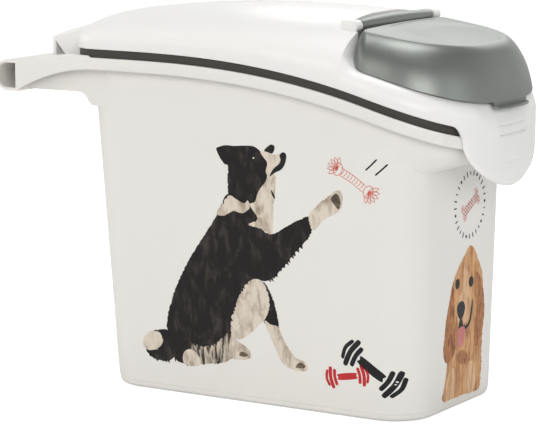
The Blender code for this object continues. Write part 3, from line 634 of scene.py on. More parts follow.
def bandTree(finish):
    tree = bpy.data.node_groups.new("bandAlongRim", "GeometryNodeTree")
    tree.interface.new_socket("Geometry", in_out="OUTPUT", socket_type="NodeSocketGeometry")
    tree.interface.new_socket("Geometry", in_out="INPUT", socket_type="NodeSocketGeometry")
    tree.interface.new_socket("Width", in_out="INPUT", socket_type="NodeSocketFloat")
    tree.interface.new_socket("Height", in_out="INPUT", socket_type="NodeSocketFloat")
    tree.interface.new_socket("Rounding", in_out="INPUT", socket_type="NodeSocketFloat")
    nodes, links = tree.nodes, tree.links
    given, out = nodes.new("NodeGroupInput"), nodes.new("NodeGroupOutput")
    path = nodes.new("GeometryNodeMeshToCurve")
    upright = nodes.new("GeometryNodeSetCurveNormal")
    upright.mode = "Z_UP"
    section = nodes.new("GeometryNodeCurvePrimitiveQuadrilateral")
    fillet = nodes.new("GeometryNodeFilletCurve")
    sweep = nodes.new("GeometryNodeCurveToMesh")
    solid = nodes.new("GeometryNodeRealizeInstances")
    paint = nodes.new("GeometryNodeSetMaterial")
    paint.inputs["Material"].default_value = finish
    links.new(given.outputs["Geometry"], path.inputs["Mesh"])
    links.new(path.outputs["Curve"], upright.inputs["Curve"])
    links.new(given.outputs["Width"], section.inputs["Width"])
    links.new(given.outputs["Height"], section.inputs["Height"])
    fillet.mode = "POLY"
    fillet.inputs["Count"].default_value = 3
    links.new(section.outputs["Curve"], fillet.inputs["Curve"])
    links.new(given.outputs["Rounding"], fillet.inputs["Radius"])
    links.new(upright.outputs["Curve"], sweep.inputs["Curve"])
    links.new(fillet.outputs["Curve"], sweep.inputs["Profile Curve"])
    links.new(sweep.outputs["Mesh"], solid.inputs["Geometry"])
    links.new(solid.outputs["Geometry"], paint.inputs["Geometry"])
    links.new(paint.outputs["Geometry"], out.inputs["Geometry"])
    return tree


def makeSeal():
    s = sealShape
    middle = s["set"] + 0.5 * s["width"]
    ring = ringAt(stepped(middle), [z + s["gap"] + 0.5 * s["height"] for z in rimHeights(rimHalf)])
    data = bpy.data.meshes.new("rimSeal")
    data.from_pydata(ring, [(step, (step + 1) % len(ring)) for step in range(len(ring))], [])
    seal = bpy.data.objects.new("rimSeal", data)
    bpy.context.scene.collection.objects.link(seal)
    tree = bandTree(sealRubber)
    band = seal.modifiers.new("band", "NODES")
    band.node_group = tree
    for name, value in (("Width", s["width"]), ("Height", s["height"]), ("Rounding", 0.0007)):
        band[inputId(tree, name)] = value
    settle(seal)
    bm = bmesh.new()
    bm.from_mesh(seal.data)
    bmesh.ops.remove_doubles(bm, verts=bm.verts, dist=1e-6)
    bmesh.ops.recalc_face_normals(bm, faces=bm.faces)
    bm.to_mesh(seal.data)
    bm.free()
    return finishShading(seal, 50.0)


seal = makeSeal()
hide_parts("rim_seal")
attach(seal, "lid")
print("seal ready", len(seal.data.polygons))


lidShape = {
    "wall": 0.0023, "band": 0.0052, "flange": 0.0090, "flangeWall": 0.0025, "sidePower": 2.3,
    "rearPower": 5.0,
    "rearRound": 0.044, "land": 0.0115, "landPower": 1.8, "crown": lidHigh.z, "crownX": 0.02,
    "crownFall": 0.36,
    "deckRearX": 0.1277, "deckZ": 0.316, "deckFall": 0.22, "deckCurve": 0.66, "riseX": 0.1425,
    "riseRadius": 0.0165,
    "troughX": 0.1112, "troughZ": 0.330, "troughHalf": 0.0765, "step": 0.0012,
}
tab = {
    "half": 0.0705, "z": 0.250, "drop": 0.250 - lidLow.z, "power": 1.75, "wall": 0.0026, "fillet": 0.012,
    "border": 0.0045, "borderDrop": 0.0026, "padHalf": 0.0243, "padTop": 0.2550, "padBottom": 0.2310,
    "padCorner": 0.011, "groove": 0.0014, "grooveDepth": 0.0012, "smileZ": 0.2632, "scoopLow": 0.2655,
    "scoopHigh": 0.280, "scoopDepth": 0.0018, "ribs": 6, "ribDepth": 0.0006, "lean": 0.0040,
}
seatRise = sealHigh.z - rim["height"] + 0.0003     # from the rim up to the underside of the lid's lip


def turnAt(y):
    across = max(0.0, y - rim["frontFlat"]) / (rim["half"] - rim["frontFlat"])
    return math.asin(min(1.0, across ** (0.5 * rim["frontPower"])))


def lidColumns():
    # closer together where the snap tab's edges run down
    turns = set(round(0.5 * math.pi * (1.0 - step / 44), 5) for step in range(1, 45))
    turns = [turn for turn in turns if not turnAt(0.0585) < turn < turnAt(0.0845)]
    turns += [turnAt(0.0590 + 0.00075 * step) for step in range(34)]
    turns += [turnAt(0.0070 + 0.0015 * step) for step in range(34)]
    kept = []
    for turn in sorted(turns, reverse=True):
        if turn > 0.004 and (not kept or kept[-1] - turn > 0.004):
            kept.append(turn)
    s = lidShape
    trough, deck = s["troughX"] - s["step"], s["deckRearX"] - s["step"]
    rise = s["riseX"] - s["deckRearX"]
    stops = [trough, trough + s["step"], 0.5 * (s["troughX"] + deck), deck, deck + s["step"]]
    stops += [s["deckRearX"] + rise * share for share in (0.12, 0.26, 0.42, 0.6, 0.8, 1.0)]
    return planColumns(stops, [0.5 * math.pi] + kept, sideSteps=52)


columnsOfLid = lidColumns()


def lidPoint(column, inset, shift=0.0):
    return planPoint(rim, column, inset, shift, sideEnd=lidShape["troughX"] - lidShape["step"] - shift)


rimOfLid = [lidPoint(column, 0.0) for column in columnsOfLid]


def lipZ(x):
    return rimZ(x) + seatRise


def halfWidth(x):
    rear = rim["rearX"] + rim["rearRadius"]
    if x < rear:
        return rim["half"] - rim["rearRadius"] + math.sqrt(max(0.0, rim["rearRadius"] ** 2 - (rear - x) ** 2))
    return rim["half"]


def crownZ(x):
    s = lidShape
    return s["crown"] + s["crownFall"] * 0.0004 - s["crownFall"] * (x - s["crownX"]) ** 2


def deckZ(x):
    s = lidShape
    ahead = x - 0.13
    level = s["deckZ"] - s["deckFall"] * ahead - s["deckCurve"] * max(0.0, ahead) ** 2
    behind = min(s["riseRadius"], max(0.0, s["riseX"] - x))
    return level + s["riseRadius"] - math.sqrt(s["riseRadius"] ** 2 - behind ** 2)


def domeZ(x, y):
    s = lidShape
    base = lipZ(x) + s["band"]
    across = min(1.0, abs(y) / halfWidth(x))
    rear = min(1.0, max(0.0, (rim["rearX"] + s["rearRound"] - x) / s["rearRound"]))
    side = (1.0 - across ** s["sidePower"]) ** (1.0 / s["sidePower"])
    back = (1.0 - rear ** s["rearPower"]) ** (1.0 / s["rearPower"])
    return base + (crownZ(x) - base) * side * back


def landZ(x, inset):
    s = lidShape
    base = lipZ(x) + s["band"]
    left = max(0.0, 1.0 - inset / s["land"])
    return base + (deckZ(x) - base) * (1.0 - left ** s["landPower"]) ** (1.0 / s["landPower"])


lidInsets = [0.0001, 0.0004, 0.0009, 0.0016, 0.0025, 0.0036, 0.0050, 0.0066, 0.0084, 0.0104, 0.0126, 0.0150,
             0.0178,
             0.0210, 0.0245, 0.0285, 0.0325, 0.0360, 0.0375, 0.041, 0.046, 0.052, 0.058, 0.064, 0.070, 0.077,
             0.084, 0.092]
stepRings = (lidInsets.index(0.0360), lidInsets.index(0.0375))


def lidRing(ring, shift):
    s = lidShape
    inset = lidInsets[ring]
    moved = inset + (shift if ring not in stepRings else -shift)
    points = []
    for column in columnsOfLid:
        x, y = lidPoint(column, inset)
        if x > s["deckRearX"] - 0.5 * s["step"]:
            z = landZ(x, inset)
        elif x > s["troughX"] - 0.5 * s["step"] and ring > stepRings[0]:
            z = s["troughZ"]
        else:
            z = domeZ(x, y)
        lean = frontLean(y, z) if x > 0.15 and inset < s["land"] else 0.0
        atX, atY = lidPoint(column, moved + lean * (1.0 - inset / s["land"]), shift)
        points.append((atX, atY, z - shift))
    return bothSides(points)


def frontLean(y, z):
    # the front leans back under the cap's finger lip
    return tab["lean"] * smoothStep((z - 0.254) / 0.024) * smoothStep((0.058 - abs(y)) / 0.02)


def lowEdge(y, lip):
    # lower edge of the lid's front: the lip, running down into the tab's rounded outline
    a = abs(y)
    if a <= tab["half"]:
        share = a / tab["half"]
        return tab["z"] - tab["drop"] * max(0.0, 1.0 - share ** tab["power"]) ** (1.0 / tab["power"])
    if a < tab["half"] + tab["fillet"]:
        left = 1.0 - (a - tab["half"]) / tab["fillet"]
        return lip - (lip - tab["z"]) * left ** 3
    return lip


def grooveDip(distance, width, depth):
    return depth * math.exp(-(distance / (0.42 * width)) ** 2)


def tabRelief(y, z):
    # how far the tab's face lies behind its plan outline
    a = abs(y)
    below = max(0.0, tab["z"] - z) / tab["drop"]
    reach = ((a / tab["half"]) ** tab["power"] + below ** tab["power"]) ** (1.0 / tab["power"])
    edge = (1.0 - reach) * mixed(tab["half"], tab["drop"], min(1.0, below))
    dip = 0.0
    if a < tab["half"] + 0.002:
        border = min(1.0, max(0.0, 1.0 - edge / tab["border"]))
        dip += tab["borderDrop"] * border ** 2 * smoothStep((0.262 - z) / 0.010)
        dip += grooveDip(edge - 1.25 * tab["border"], 0.0022, 0.00035) * smoothStep((0.258 - z) / 0.008)
    dip += 0.0016 * smoothStep((0.224 - z) / 0.016)
    # thumb pad: a rounded panel with a groove round it, deeper along its top
    inX = a - tab["padHalf"] + tab["padCorner"]
    inZ = tab["padBottom"] + tab["padCorner"] - z
    if inZ > 0.0 and inX > 0.0:
        off = math.hypot(inX, inZ) - tab["padCorner"]
    else:
        off = max(a - tab["padHalf"], tab["padBottom"] - z)
    inside = max(off, z - tab["padTop"])
    dip += grooveDip(inside, tab["groove"], 0.6 * tab["grooveDepth"])
    if a < tab["padHalf"] + 0.001:
        dip += grooveDip(z - tab["padTop"], tab["groove"] * 1.3, 1.5 * tab["grooveDepth"])
        smile = tab["smileZ"] + 0.0012 * (a / tab["padHalf"]) ** 2
        dip += grooveDip(z - smile, tab["groove"] * 1.1, tab["grooveDepth"])
    # finger scoop with upright ribs above it
    middle = 0.5 * (tab["scoopLow"] + tab["scoopHigh"])
    bowl = smoothStep((1.0 - abs(z - middle) / (0.5 * (tab["scoopHigh"] - tab["scoopLow"]))) * 1.6)
    bowl *= smoothStep((1.0 - a / (tab["padHalf"] + 0.002)) * 4.0)
    ribs = 0.5 + 0.5 * math.cos(2.0 * math.pi * tab["ribs"] * (y + tab["padHalf"]) / (2.0 * tab["padHalf"]))
    return dip + bowl * (tab["scoopDepth"] + tab["ribDepth"] * ribs)


def lipRing(inset, rise):
    points = []
    for column, (rimX, _) in zip(columnsOfLid, rimOfLid):
        x, y = lidPoint(column, inset)
        points.append((x, y, lipZ(rimX) + rise))
    return bothSides(points)


def faceRing(share, inset=0.0):
    # a row of the lid's outer face between its band (share 0) and its lower edge (share 1)
    points = []
    for column, (rimX, rimY) in zip(columnsOfLid, rimOfLid):
        lip = lipZ(rimX)
        low = lowEdge(rimY, lip) if rimX > 0.15 else lip
        z = mixed(lip + lidShape["band"], low + 0.0006, share)
        dip = 0.0
        if rimX > 0.15 and abs(rimY) < tab["half"] + tab["fillet"]:
            dip = tabRelief(rimY, z) + frontLean(rimY, z)
        x, y = lidPoint(column, inset + dip)
        points.append((x, y, z))
    return bothSides(points)


def edgeRing(inset, rise, up=0.0):
    # rings round the lower edge and up the inside of the tab
    points = []
    for column, (rimX, rimY) in zip(columnsOfLid, rimOfLid):
        lip = lipZ(rimX)
        low = lowEdge(rimY, lip) if rimX > 0.15 else lip
        dip = 0.0
        if rimX > 0.15 and abs(rimY) < tab["half"] + tab["fillet"]:
            dip = tabRelief(rimY, low) * max(0.0, 1.0 - inset / tab["wall"])
        x, y = lidPoint(column, inset + dip)
        points.append((x, y, mixed(low, lip, up) + rise))
    return bothSides(points)


def makeLidShell():
    s = lidShape
    count = len(lidInsets)
    rings = [lidRing(ring, 0.0) for ring in range(count)][::-1]
    rows = 56
    rings += [faceRing(step / rows) for step in range(rows + 1)]
    rings.append(edgeRing(0.0005, 0.0001))
    rings.append(edgeRing(0.0010, 0.0))
    rings.append(edgeRing(tab["wall"], 0.0))
    rings.append(edgeRing(tab["wall"] + 0.0001, 0.0, up=0.5))
    rings.append(edgeRing(tab["wall"] + 0.0002, 0.0, up=1.0))
    rings.append(lipRing(s["flange"], 0.0))
    rings.append(lipRing(s["flange"], s["flangeWall"]))
    rings.append(lipRing(s["wall"], s["flangeWall"]))
    rings += [lidRing(ring, s["wall"]) for ring in range(count)]
    return loftShell("binLid", rings)


hood = {
    "rearX": lidLow.x, "frontX": -0.1585, "half": 0.0893, "z": 0.3346, "rise": 0.25, "arch": 0.94,
    "bottom": 0.3065, "wall": 0.0023, "round": 0.0015,
    "hooks": (-0.076, -0.029, 0.029, 0.076), "hookWidth": 0.006, "hookWall": 0.0024, "hookMouth": 0.0050,
}


def hoodTop(x, y):
    return hood["z"] + hood["rise"] * (x - hood["rearX"]) - hood["arch"] * y * y


def hoodSolid(name, rearX, frontX, half, low, drop):
    sections = []
    soft = hood["round"]
    for step in range(41):
        y = half * (2.0 * step / 40 - 1.0)
        points = [(rearX, y, low)]
        for turn in (0.0, 22.5, 45.0, 67.5, 90.0):
            a = math.radians(turn)
            points.append((rearX + soft * (1.0 - math.cos(a)), y,
                           hoodTop(rearX, y) - drop - soft * (1.0 - math.sin(a))))
        points += [(frontX, y, hoodTop(frontX, y) - drop), (frontX, y, low)]
        sections.append(points)
    return barMesh(name, sections)


def makeHook(y):
    at = hingeAt["lid_hinge"]
    inner = rail["radius"] + 0.0004
    outer = inner + hood["hookWall"]
    low, high = y - 0.5 * hood["hookWidth"], y + 0.5 * hood["hookWidth"]
    hook = roundBar("hook", [(low, outer), (high, outer)], at, 32)
    top = hoodTop(at.x, y) - 0.5 * hood["wall"]
    combine(hook, [boxMesh("rib", (at.x - 0.7 * outer, low + 0.0003, at.z),
                           (at.x + 0.7 * outer, high - 0.0003, top))])
    mouthLow = (at.x - 0.5 * hood["hookMouth"], low - 0.002, at.z - 2.0 * outer)
    mouth = boxMesh("mouth", mouthLow, (at.x + 0.5 * hood["hookMouth"], high + 0.002, at.z))
    bore = roundBar("bore", [(low - 0.002, inner), (high + 0.002, inner)], at, 32)
    return combine(hook, [bore, mouth], "DIFFERENCE")


def makeHood():
    h = hood
    shell = hoodSolid("hood", h["rearX"], h["frontX"], h["half"], h["bottom"], 0.0)
    softened(shell, 0.0011, 3, 50.0)
    inner = hoodSolid("inside", h["rearX"] + h["wall"], h["frontX"] + 0.02, h["half"] - h["wall"],
                      h["bottom"] - 0.01, h["wall"])
    notch = []
    for y in (-h["half"] - 0.01, h["half"] + 0.01):
        left = h["rearX"] + 0.0035
        notch.append([(left, y, h["bottom"] + 0.003), (left, y, h["bottom"] + 0.0165),
                      (left + 0.012, y, h["bottom"] + 0.003)])
    reliefLow = (rim["rearX"] - 0.0015, -h["half"] - 0.01, h["bottom"] - 0.01)
    relief = boxMesh("relief", reliefLow, (0.0, h["half"] + 0.01, lipZ(rim["rearX"]) + 0.001))
    combine(shell, [inner, barMesh("notch", notch), relief], "DIFFERENCE")
    return combine(shell, [makeHook(y) for y in h["hooks"]])


spout = {"rearX": 0.1532, "frontX": 0.220, "half": 0.062, "radius": 0.022, "wall": 0.0022, "height": 0.006}


def spoutColumn(name, grow, low, high):
    rear, front, half = spout["rearX"] - grow, spout["frontX"] + grow, spout["half"] + grow
    radius = spout["radius"] + grow
    plan = []
    for midX, midY, start in ((front - radius, half - radius, 0.0), (rear + radius, half - radius, 90.0),
                              (rear + radius, radius - half, 180.0), (front - radius, radius - half, 270.0)):
        for step in range(13):
            turn = math.radians(start + 90.0 * step / 12)
            plan.append((midX + radius * math.cos(turn), midY + radius * math.sin(turn)))
    return barMesh(name, [[(x, y, deckZ(x) + rise) for x, y in plan] for rise in (low, high)])


ears = {"radius": 0.0055, "reach": 0.0022, "gap": 0.001}
cap = {
    "rearX": 0.1290, "frontX": 0.2400, "half": capHigh.y, "rearRadius": 0.020, "frontLength": 0.085,
    "frontPower": 2.40, "wall": 0.0022, "top": 0.3475, "topFall": 0.15, "crown": 0.0030, "lift": 0.0007,
    "knuckleEnd": 0.0045, "knuckleMiddle": 0.0075, "knuckleHalf": 0.0665, "pinRadius": 0.0022,
    "pinLength": 0.0065,
    "web": 0.0026, "lipHalf": 0.032, "lipReach": capHigh.x - 0.2401, "lipWall": 0.0020, "lipZ": capLow.z,
}


def makeEar(side):
    at = hingeAt["cap_hinge"]
    s = lidShape
    inner = side * (cap["knuckleHalf"] + ears["gap"])
    outer = side * (s["troughHalf"] + ears["reach"])
    ear = roundBar("ear", sorted([(inner, ears["radius"]), (outer, ears["radius"])]), at, 40)
    low = (s["troughX"] - 1.3 * s["step"], min(inner, outer) + 0.0002, at.z - ears["radius"] + 0.0003)
    high = (at.x, max(inner, outer) - 0.0002, at.z + ears["radius"] - 0.0006)
    combine(ear, [boxMesh("foot", low, high)])
    softened(ear, 0.0006, 2, 50.0)
    hole = cap["pinRadius"] + 0.0004
    ends = sorted([side * (cap["knuckleHalf"] - 0.002), side * (cap["knuckleHalf"] + cap["pinLength"]
                                                                + 0.0006)])
    return combine(ear, [roundBar("hole", [(ends[0], hole), (ends[1], hole)], at, 24)], "DIFFERENCE")


lid = makeLidShell()
combine(lid, [spoutColumn("collar", spout["wall"], -0.5 * lidShape["wall"], spout["height"]), makeHood()])
combine(lid, [spoutColumn("spout", 0.0, -0.02, 0.03)], "DIFFERENCE")
combine(lid, [makeEar(side) for side in (-1.0, 1.0)])
finishShading(lid)
lid.data.materials.clear()
lid.data.materials.append(lidPlastic)
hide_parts("lid")
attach(lid, "lid")
print("lid ready", len(lid.data.polygons))


capProfile = ((0.0, 0.0), (0.03, 0.0003), (0.10, 0.0008), (0.20, 0.0018), (0.32, 0.0033), (0.44, 0.0051),
              (0.55, 0.0073),
              (0.65, 0.0098), (0.74, 0.0125), (0.815, 0.0152), (0.87, 0.0178), (0.905, 0.0200),
              (0.928, 0.0216),
              (0.940, 0.0227), (0.947, 0.0236), (0.952, 0.0246), (0.957, 0.0262), (0.963, 0.0285),
              (0.971, 0.0320),
              (0.981, 0.037), (0.990, 0.043), (0.997, 0.050), (1.0, 0.057), (1.0, 0.064), (1.0, 0.071),
              (1.0, 0.078))
capColumns = planColumns([], evenTurns, rearSteps=14, sideSteps=30)
capDish = {"x": 0.184, "reachX": 0.043, "reachY": 0.066, "depth": 0.0014}


def capPoint(column, inset):
    lean = 0.12 if inset < 0.04 else mixed(0.12, 0.22, min(1.0, (inset - 0.04) / 0.02))
    plan = {
        "rearX": cap["rearX"] + inset * lean, "frontX": cap["frontX"] - inset, "half": cap["half"] - inset,
        "rearRadius": max(0.001, cap["rearRadius"] - 0.6 * inset),
        "frontLength": max(0.002, cap["frontLength"] - inset),
        "frontFlat": rim["frontFlat"], "frontPower": cap["frontPower"],
    }
    return planPoint(plan, column)


def capTop(x, y):
    d = capDish
    inside = 1.0 - ((x - d["x"]) / d["reachX"]) ** 2 - (y / d["reachY"]) ** 2
    dish = d["depth"] * smoothStep(max(0.0, inside) * 1.6)
    return cap["top"] - cap["topFall"] * (x - cap["rearX"]) + cap["crown"] * (1.0
            - (y / cap["half"]) ** 2) - dish


def capRingAt(share, inset, shift):
    points = []
    for column in capColumns:
        x, y = capPoint(column, inset)
        atX, atY = capPoint(column, inset + shift)
        footX, _ = capPoint(column, 0.0)
        low = deckZ(footX) + cap["lift"]
        z = low + (capTop(x, y) - low) * share
        if shift:
            atX += 0.88 * shift if x < cap["rearX"] + 0.02 and inset < 0.03 else 0.0
            z -= shift * smoothStep(1.5 * share)
        points.append((atX, atY, z))
    return bothSides(points)


def capReach(y):
    across = max(0.0, abs(y) - rim["frontFlat"]) / (cap["half"] - rim["frontFlat"])
    return cap["frontLength"] * max(0.0, 1.0 - across ** cap["frontPower"]) ** (1.0 / cap["frontPower"])


def makeCapLip():
    c = cap
    sections = []
    for step in range(41):
        share = 2.0 * step / 40 - 1.0
        y = c["lipHalf"] * share
        edge = c["frontX"] - c["frontLength"] + capReach(y)
        front = edge + c["lipReach"] * math.sqrt(max(0.0, 1.0 - share ** 2)) + 0.0001
        rear = edge - 0.5 * c["wall"]
        top = deckZ(edge) + 0.004
        z = c["lipZ"]
        soft = min(0.0007, 0.4 * (front - edge))
        sections.append([(rear, y, z), (front - soft, y, z), (front, y, z + 0.0007),
                         (front, y, z + c["lipWall"] - 0.0007),
                         (front - soft, y, z + c["lipWall"]), (edge - 0.0004, y, z + c["lipWall"]),
                         (edge - 0.0006, y, top), (rear, y, top)])
    return barMesh("lip", sections)


def makeCap():
    c = cap
    at = hingeAt["cap_hinge"]
    skin = list(reversed(capProfile))
    rings = [capRingAt(share, inset, 0.0) for share, inset in skin]
    rings += [capRingAt(share, inset, c["wall"]) for share, inset in reversed(skin)]
    made = loftShell("spoutCap", rings, 30.0)
    stations = []
    for step in range(33):
        share = 2.0 * step / 32 - 1.0
        stations.append((c["knuckleHalf"] * share, mixed(c["knuckleMiddle"], c["knuckleEnd"], share ** 2)))
    knuckle = roundBar("knuckle", stations, at, 40)
    softened(knuckle, 0.0006, 2, 60.0)
    pin = c["knuckleHalf"] + c["pinLength"]
    low = (at.x, -c["knuckleHalf"] + 0.002, c["top"] - c["web"])
    web = boxMesh("web", low, (c["rearX"] + 0.006, c["knuckleHalf"] - 0.002, c["top"] - 0.0004))
    pinBar = roundBar("pin", [(-pin, c["pinRadius"]), (pin, c["pinRadius"])], at, 24)
    combine(made, [knuckle, pinBar, web, makeCapLip()])
    return combine(made, capCuts(), "DIFFERENCE")


capMarks = {
    "slitX": 0.1385, "slitHalf": 0.047, "slitWidth": 0.0010, "slitDepth": 0.0009, "slitBow": 0.0022,
    "notchX": 0.2185, "notchHalf": 0.050, "notchWidth": 0.0075, "notchDepth": 0.0030, "notchBow": 0.020,
}


def capCuts():
    # thin slit along the rear and a crescent notch along the front of the top
    m = capMarks
    slit, notch = [], []
    for step in range(33):
        share = 2.0 * step / 32 - 1.0
        y = m["slitHalf"] * share
        x = m["slitX"] + m["slitBow"] * share ** 2
        z = capTop(x, y)
        wide = 0.5 * m["slitWidth"] * math.sqrt(max(0.02, 1.0 - share ** 4))
        slit.append([(x - wide, y, z - m["slitDepth"]), (x + wide, y, z - m["slitDepth"]),
                     (x + wide, y, z + 0.004), (x - wide, y, z + 0.004)])
        y = m["notchHalf"] * share
        front = m["notchX"] - m["notchBow"] * share ** 2
        back = front - m["notchWidth"] * max(0.03, 1.0 - share ** 2)
        z = capTop(front, y)
        deep = m["notchDepth"] * max(0.05, 1.0 - share ** 4)
        notch.append([(back, y, z - 0.0004), (front, y, z - deep), (front + 0.0006, y, z + 0.006),
                      (back, y, z + 0.006)])
    return [barMesh("slit", slit), barMesh("notch", notch)]


spoutCap = makeCap()
finishShading(spoutCap, 30.0)
spoutCap.data.materials.clear()
spoutCap.data.materials.append(capPlastic)
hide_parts("spout_cap")
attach(spoutCap, "cap")
print("cap ready", len(spoutCap.data.polygons))


wallTree = BVHTree.FromPolygons([v.co for v in tub.data.vertices],
                                [tuple(p.vertices) for p in tub.data.polygons])
printLook = {"sink": 0.00004, "lift": 0.00012, "layer": 0.00004, "cell": 0.005, "curveSteps": 5}
inks = {
    "coat": {"dark": (0.011, 0.009, 0.009), "light": (0.050, 0.040, 0.036), "size": 110.0, "bias": 0.60,
             "contrast": 0.14, "slant": (1.0, 1.0, 0.45)},
    "fleece": {"dark": (0.33, 0.25, 0.18), "light": (0.72, 0.64, 0.54), "size": 120.0, "bias": 0.44,
               "contrast": 0.16, "slant": (1.0, 1.0, 0.4)},
    "fringe": {"dark": (0.045, 0.036, 0.030), "light": (0.60, 0.52, 0.42), "size": 150.0, "bias": 0.50,
               "contrast": 0.10, "slant": (1.8, 1.0, 0.35)},
    "pad": {"dark": (0.06, 0.045, 0.035), "light": (0.20, 0.15, 0.11), "size": 200.0, "bias": 0.5,
            "contrast": 0.2, "slant": (1.0, 1.0, 1.0)},
    "red": {"dark": (0.48, 0.022, 0.028), "light": (0.55, 0.035, 0.040), "size": 60.0, "bias": 0.5,
            "contrast": 0.3, "slant": (1.0, 1.0, 1.0)},
    "line": {"dark": (0.60, 0.10, 0.07), "light": (0.68, 0.16, 0.11), "size": 60.0, "bias": 0.5,
             "contrast": 0.3, "slant": (1.0, 1.0, 1.0)},
    "black": {"dark": (0.010, 0.010, 0.011), "light": (0.018, 0.018, 0.018), "size": 60.0, "bias": 0.5,
              "contrast": 0.3, "slant": (1.0, 1.0, 1.0)},
    "gold": {"dark": (0.36, 0.155, 0.060), "light": (0.66, 0.37, 0.17), "size": 120.0, "bias": 0.47,
             "contrast": 0.15, "slant": (1.0, 1.6, 0.4)},
    "amber": {"dark": (0.22, 0.075, 0.026), "light": (0.50, 0.22, 0.085), "size": 150.0, "bias": 0.48,
              "contrast": 0.14, "slant": (1.0, 1.5, 0.5)},
    "cream": {"dark": (0.48, 0.24, 0.11), "light": (0.74, 0.49, 0.29), "size": 110.0, "bias": 0.46,
              "contrast": 0.16, "slant": (1.0, 1.7, 0.35)},
    "pink": {"dark": (0.52, 0.16, 0.15), "light": (0.62, 0.24, 0.22), "size": 80.0, "bias": 0.5,
             "contrast": 0.2, "slant": (1.0, 1.0, 1.0)},
    "blush": {"dark": (0.66, 0.42, 0.40), "light": (0.78, 0.60, 0.57), "size": 300.0, "bias": 0.5,
              "contrast": 0.1, "slant": (1.0, 1.0, 1.0)},
}


def curved(points, closed=True):
    # smooth line through the points
    count, steps = len(points), printLook["curveSteps"]
    line = []
    for k in range(count if closed else count - 1):
        if closed:
            a, b, c, d = (points[(k + step) % count] for step in (-1, 0, 1, 2))
        else:
            a, b, c, d = (points[min(count - 1, max(0, k + step))] for step in (-1, 0, 1, 2))
        for step in range(steps):
            t = step / steps
            line.append(tuple(0.5 * (2.0 * q + (r - p) * t + (2.0 * p - 5.0 * q + 4.0 * r - s) * t * t
                                     + (3.0 * q - p - 3.0 * r + s) * t ** 3) for p, q, r,
                                     s in zip(a, b, c, d)))
    return line if closed else line + [points[-1]]


def furred(points, reach, seed, pitch=1.6):
    # smooth outline with short tufts along it
    line = curved(points)
    chance = random.Random(seed)
    tufted = []
    for (x, z), (nextX, nextZ) in zip(line, line[1:] + line[:1]):
        run = math.hypot(nextX - x, nextZ - z)
        count = max(1, round(run / pitch))
        for step in range(count):
            t = step / count
            out = reach * chance.uniform(-0.45, 1.0) * (1.0 if step % 2 else -0.2)
            tufted.append((mixed(x, nextX, t) + (nextZ - z) / run * out * 0.7 + out * 0.25,
                           mixed(z, nextZ, t) - (nextX - x) / run * out * 0.7 - abs(out) * 0.6))
    return tufted


def oval(x, z, reachX, reachZ, turn=0.0, count=16):
    a = math.radians(turn)
    points = []
    for step in range(count):
        t = 2.0 * math.pi * step / count
        u, v = reachX * math.cos(t), reachZ * math.sin(t)
        points.append((x + u * math.cos(a) - v * math.sin(a), z + u * math.sin(a) + v * math.cos(a)))
    return points


def stroke(points, width):
    # an even line with pointed ends
    line = curved(points, closed=False)
    left, right = [], []
    for k, (x, z) in enumerate(line):
        (fromX, fromZ), (toX, toZ) = line[max(0, k - 1)], line[min(len(line) - 1, k + 1)]
        run = math.hypot(toX - fromX, toZ - fromZ)
        wide = 0.5 * width * (0.35 if k in (0, len(line) - 1) else 1.0)
        left.append((x - (toZ - fromZ) / run * wide, z + (toX - fromX) / run * wide))
        right.append((x + (toZ - fromZ) / run * wide, z - (toX - fromX) / run * wide))
    return left + right[::-1]


def placed(points, x, z, turn, scale=1.0):
    a = math.radians(turn)
    return [(x + scale * (u * math.cos(a) - v * math.sin(a)), z + scale * (u * math.sin(a) + v * math.cos(a)))
            for u, v in points]


def onWall(wall, u, v):
    # point of the tub's outer wall: "side" looks along +Y, "front" along -X
    if wall == "side":
        hit = wallTree.ray_cast(Vector((u, -0.3, v)), Vector((0.0, 1.0, 0.0)))[0]
        return hit, Vector((0.0, -1.0, 0.0))
    hit = wallTree.ray_cast(Vector((0.4, u, v)), Vector((-1.0, 0.0, 0.0)))[0]
    return hit, Vector((1.0, 0.0, 0.0))


def slabInto(bm, outline, wall, layer):
    # thin closed slab that follows the wall under a flat outline given in millimetres
    cell = printLook["cell"]
    points = [Vector((0.001 * x, 0.001 * z)) for x, z in outline]
    count = len(points)
    lowX, highX = min(p.x for p in points), max(p.x for p in points)
    lowZ, highZ = min(p.y for p in points), max(p.y for p in points)
    for across in range(1, int((highX - lowX) / cell) + 1):
        for up in range(1, int((highZ - lowZ) / cell) + 1):
            points.append(Vector((lowX + cell * across, lowZ + cell * (up + 0.5 * (across % 2)))))
    corners, _, faces, _, _, _ = delaunay_2d_cdt(points, [], [list(range(count))], 1, 1e-6)
    used = sorted(set(k for face in faces for k in face))
    tops, lows, seen = {}, {}, {}
    for k in used:
        hit, out = onWall(wall, corners[k].x, corners[k].y)
        tops[k] = bm.verts.new(hit + out * (printLook["lift"] + printLook["layer"] * layer))
        lows[k] = bm.verts.new(hit - out * printLook["sink"])
    for face in faces:
        a, b, c = (corners[k] for k in face[:3])
        turn = (b - a).cross(c - a) > 0.0
        order = list(face) if turn == (wall == "side") else list(face)[::-1]
        bm.faces.new([tops[k] for k in order])
        bm.faces.new([lows[k] for k in order[::-1]])
        for k, a in enumerate(order):
            b = order[(k + 1) % len(order)]
            seen[(a, b)] = True
    for a, b in seen:
        if (b, a) not in seen:
            bm.faces.new((tops[b], tops[a], lows[a], lows[b]))


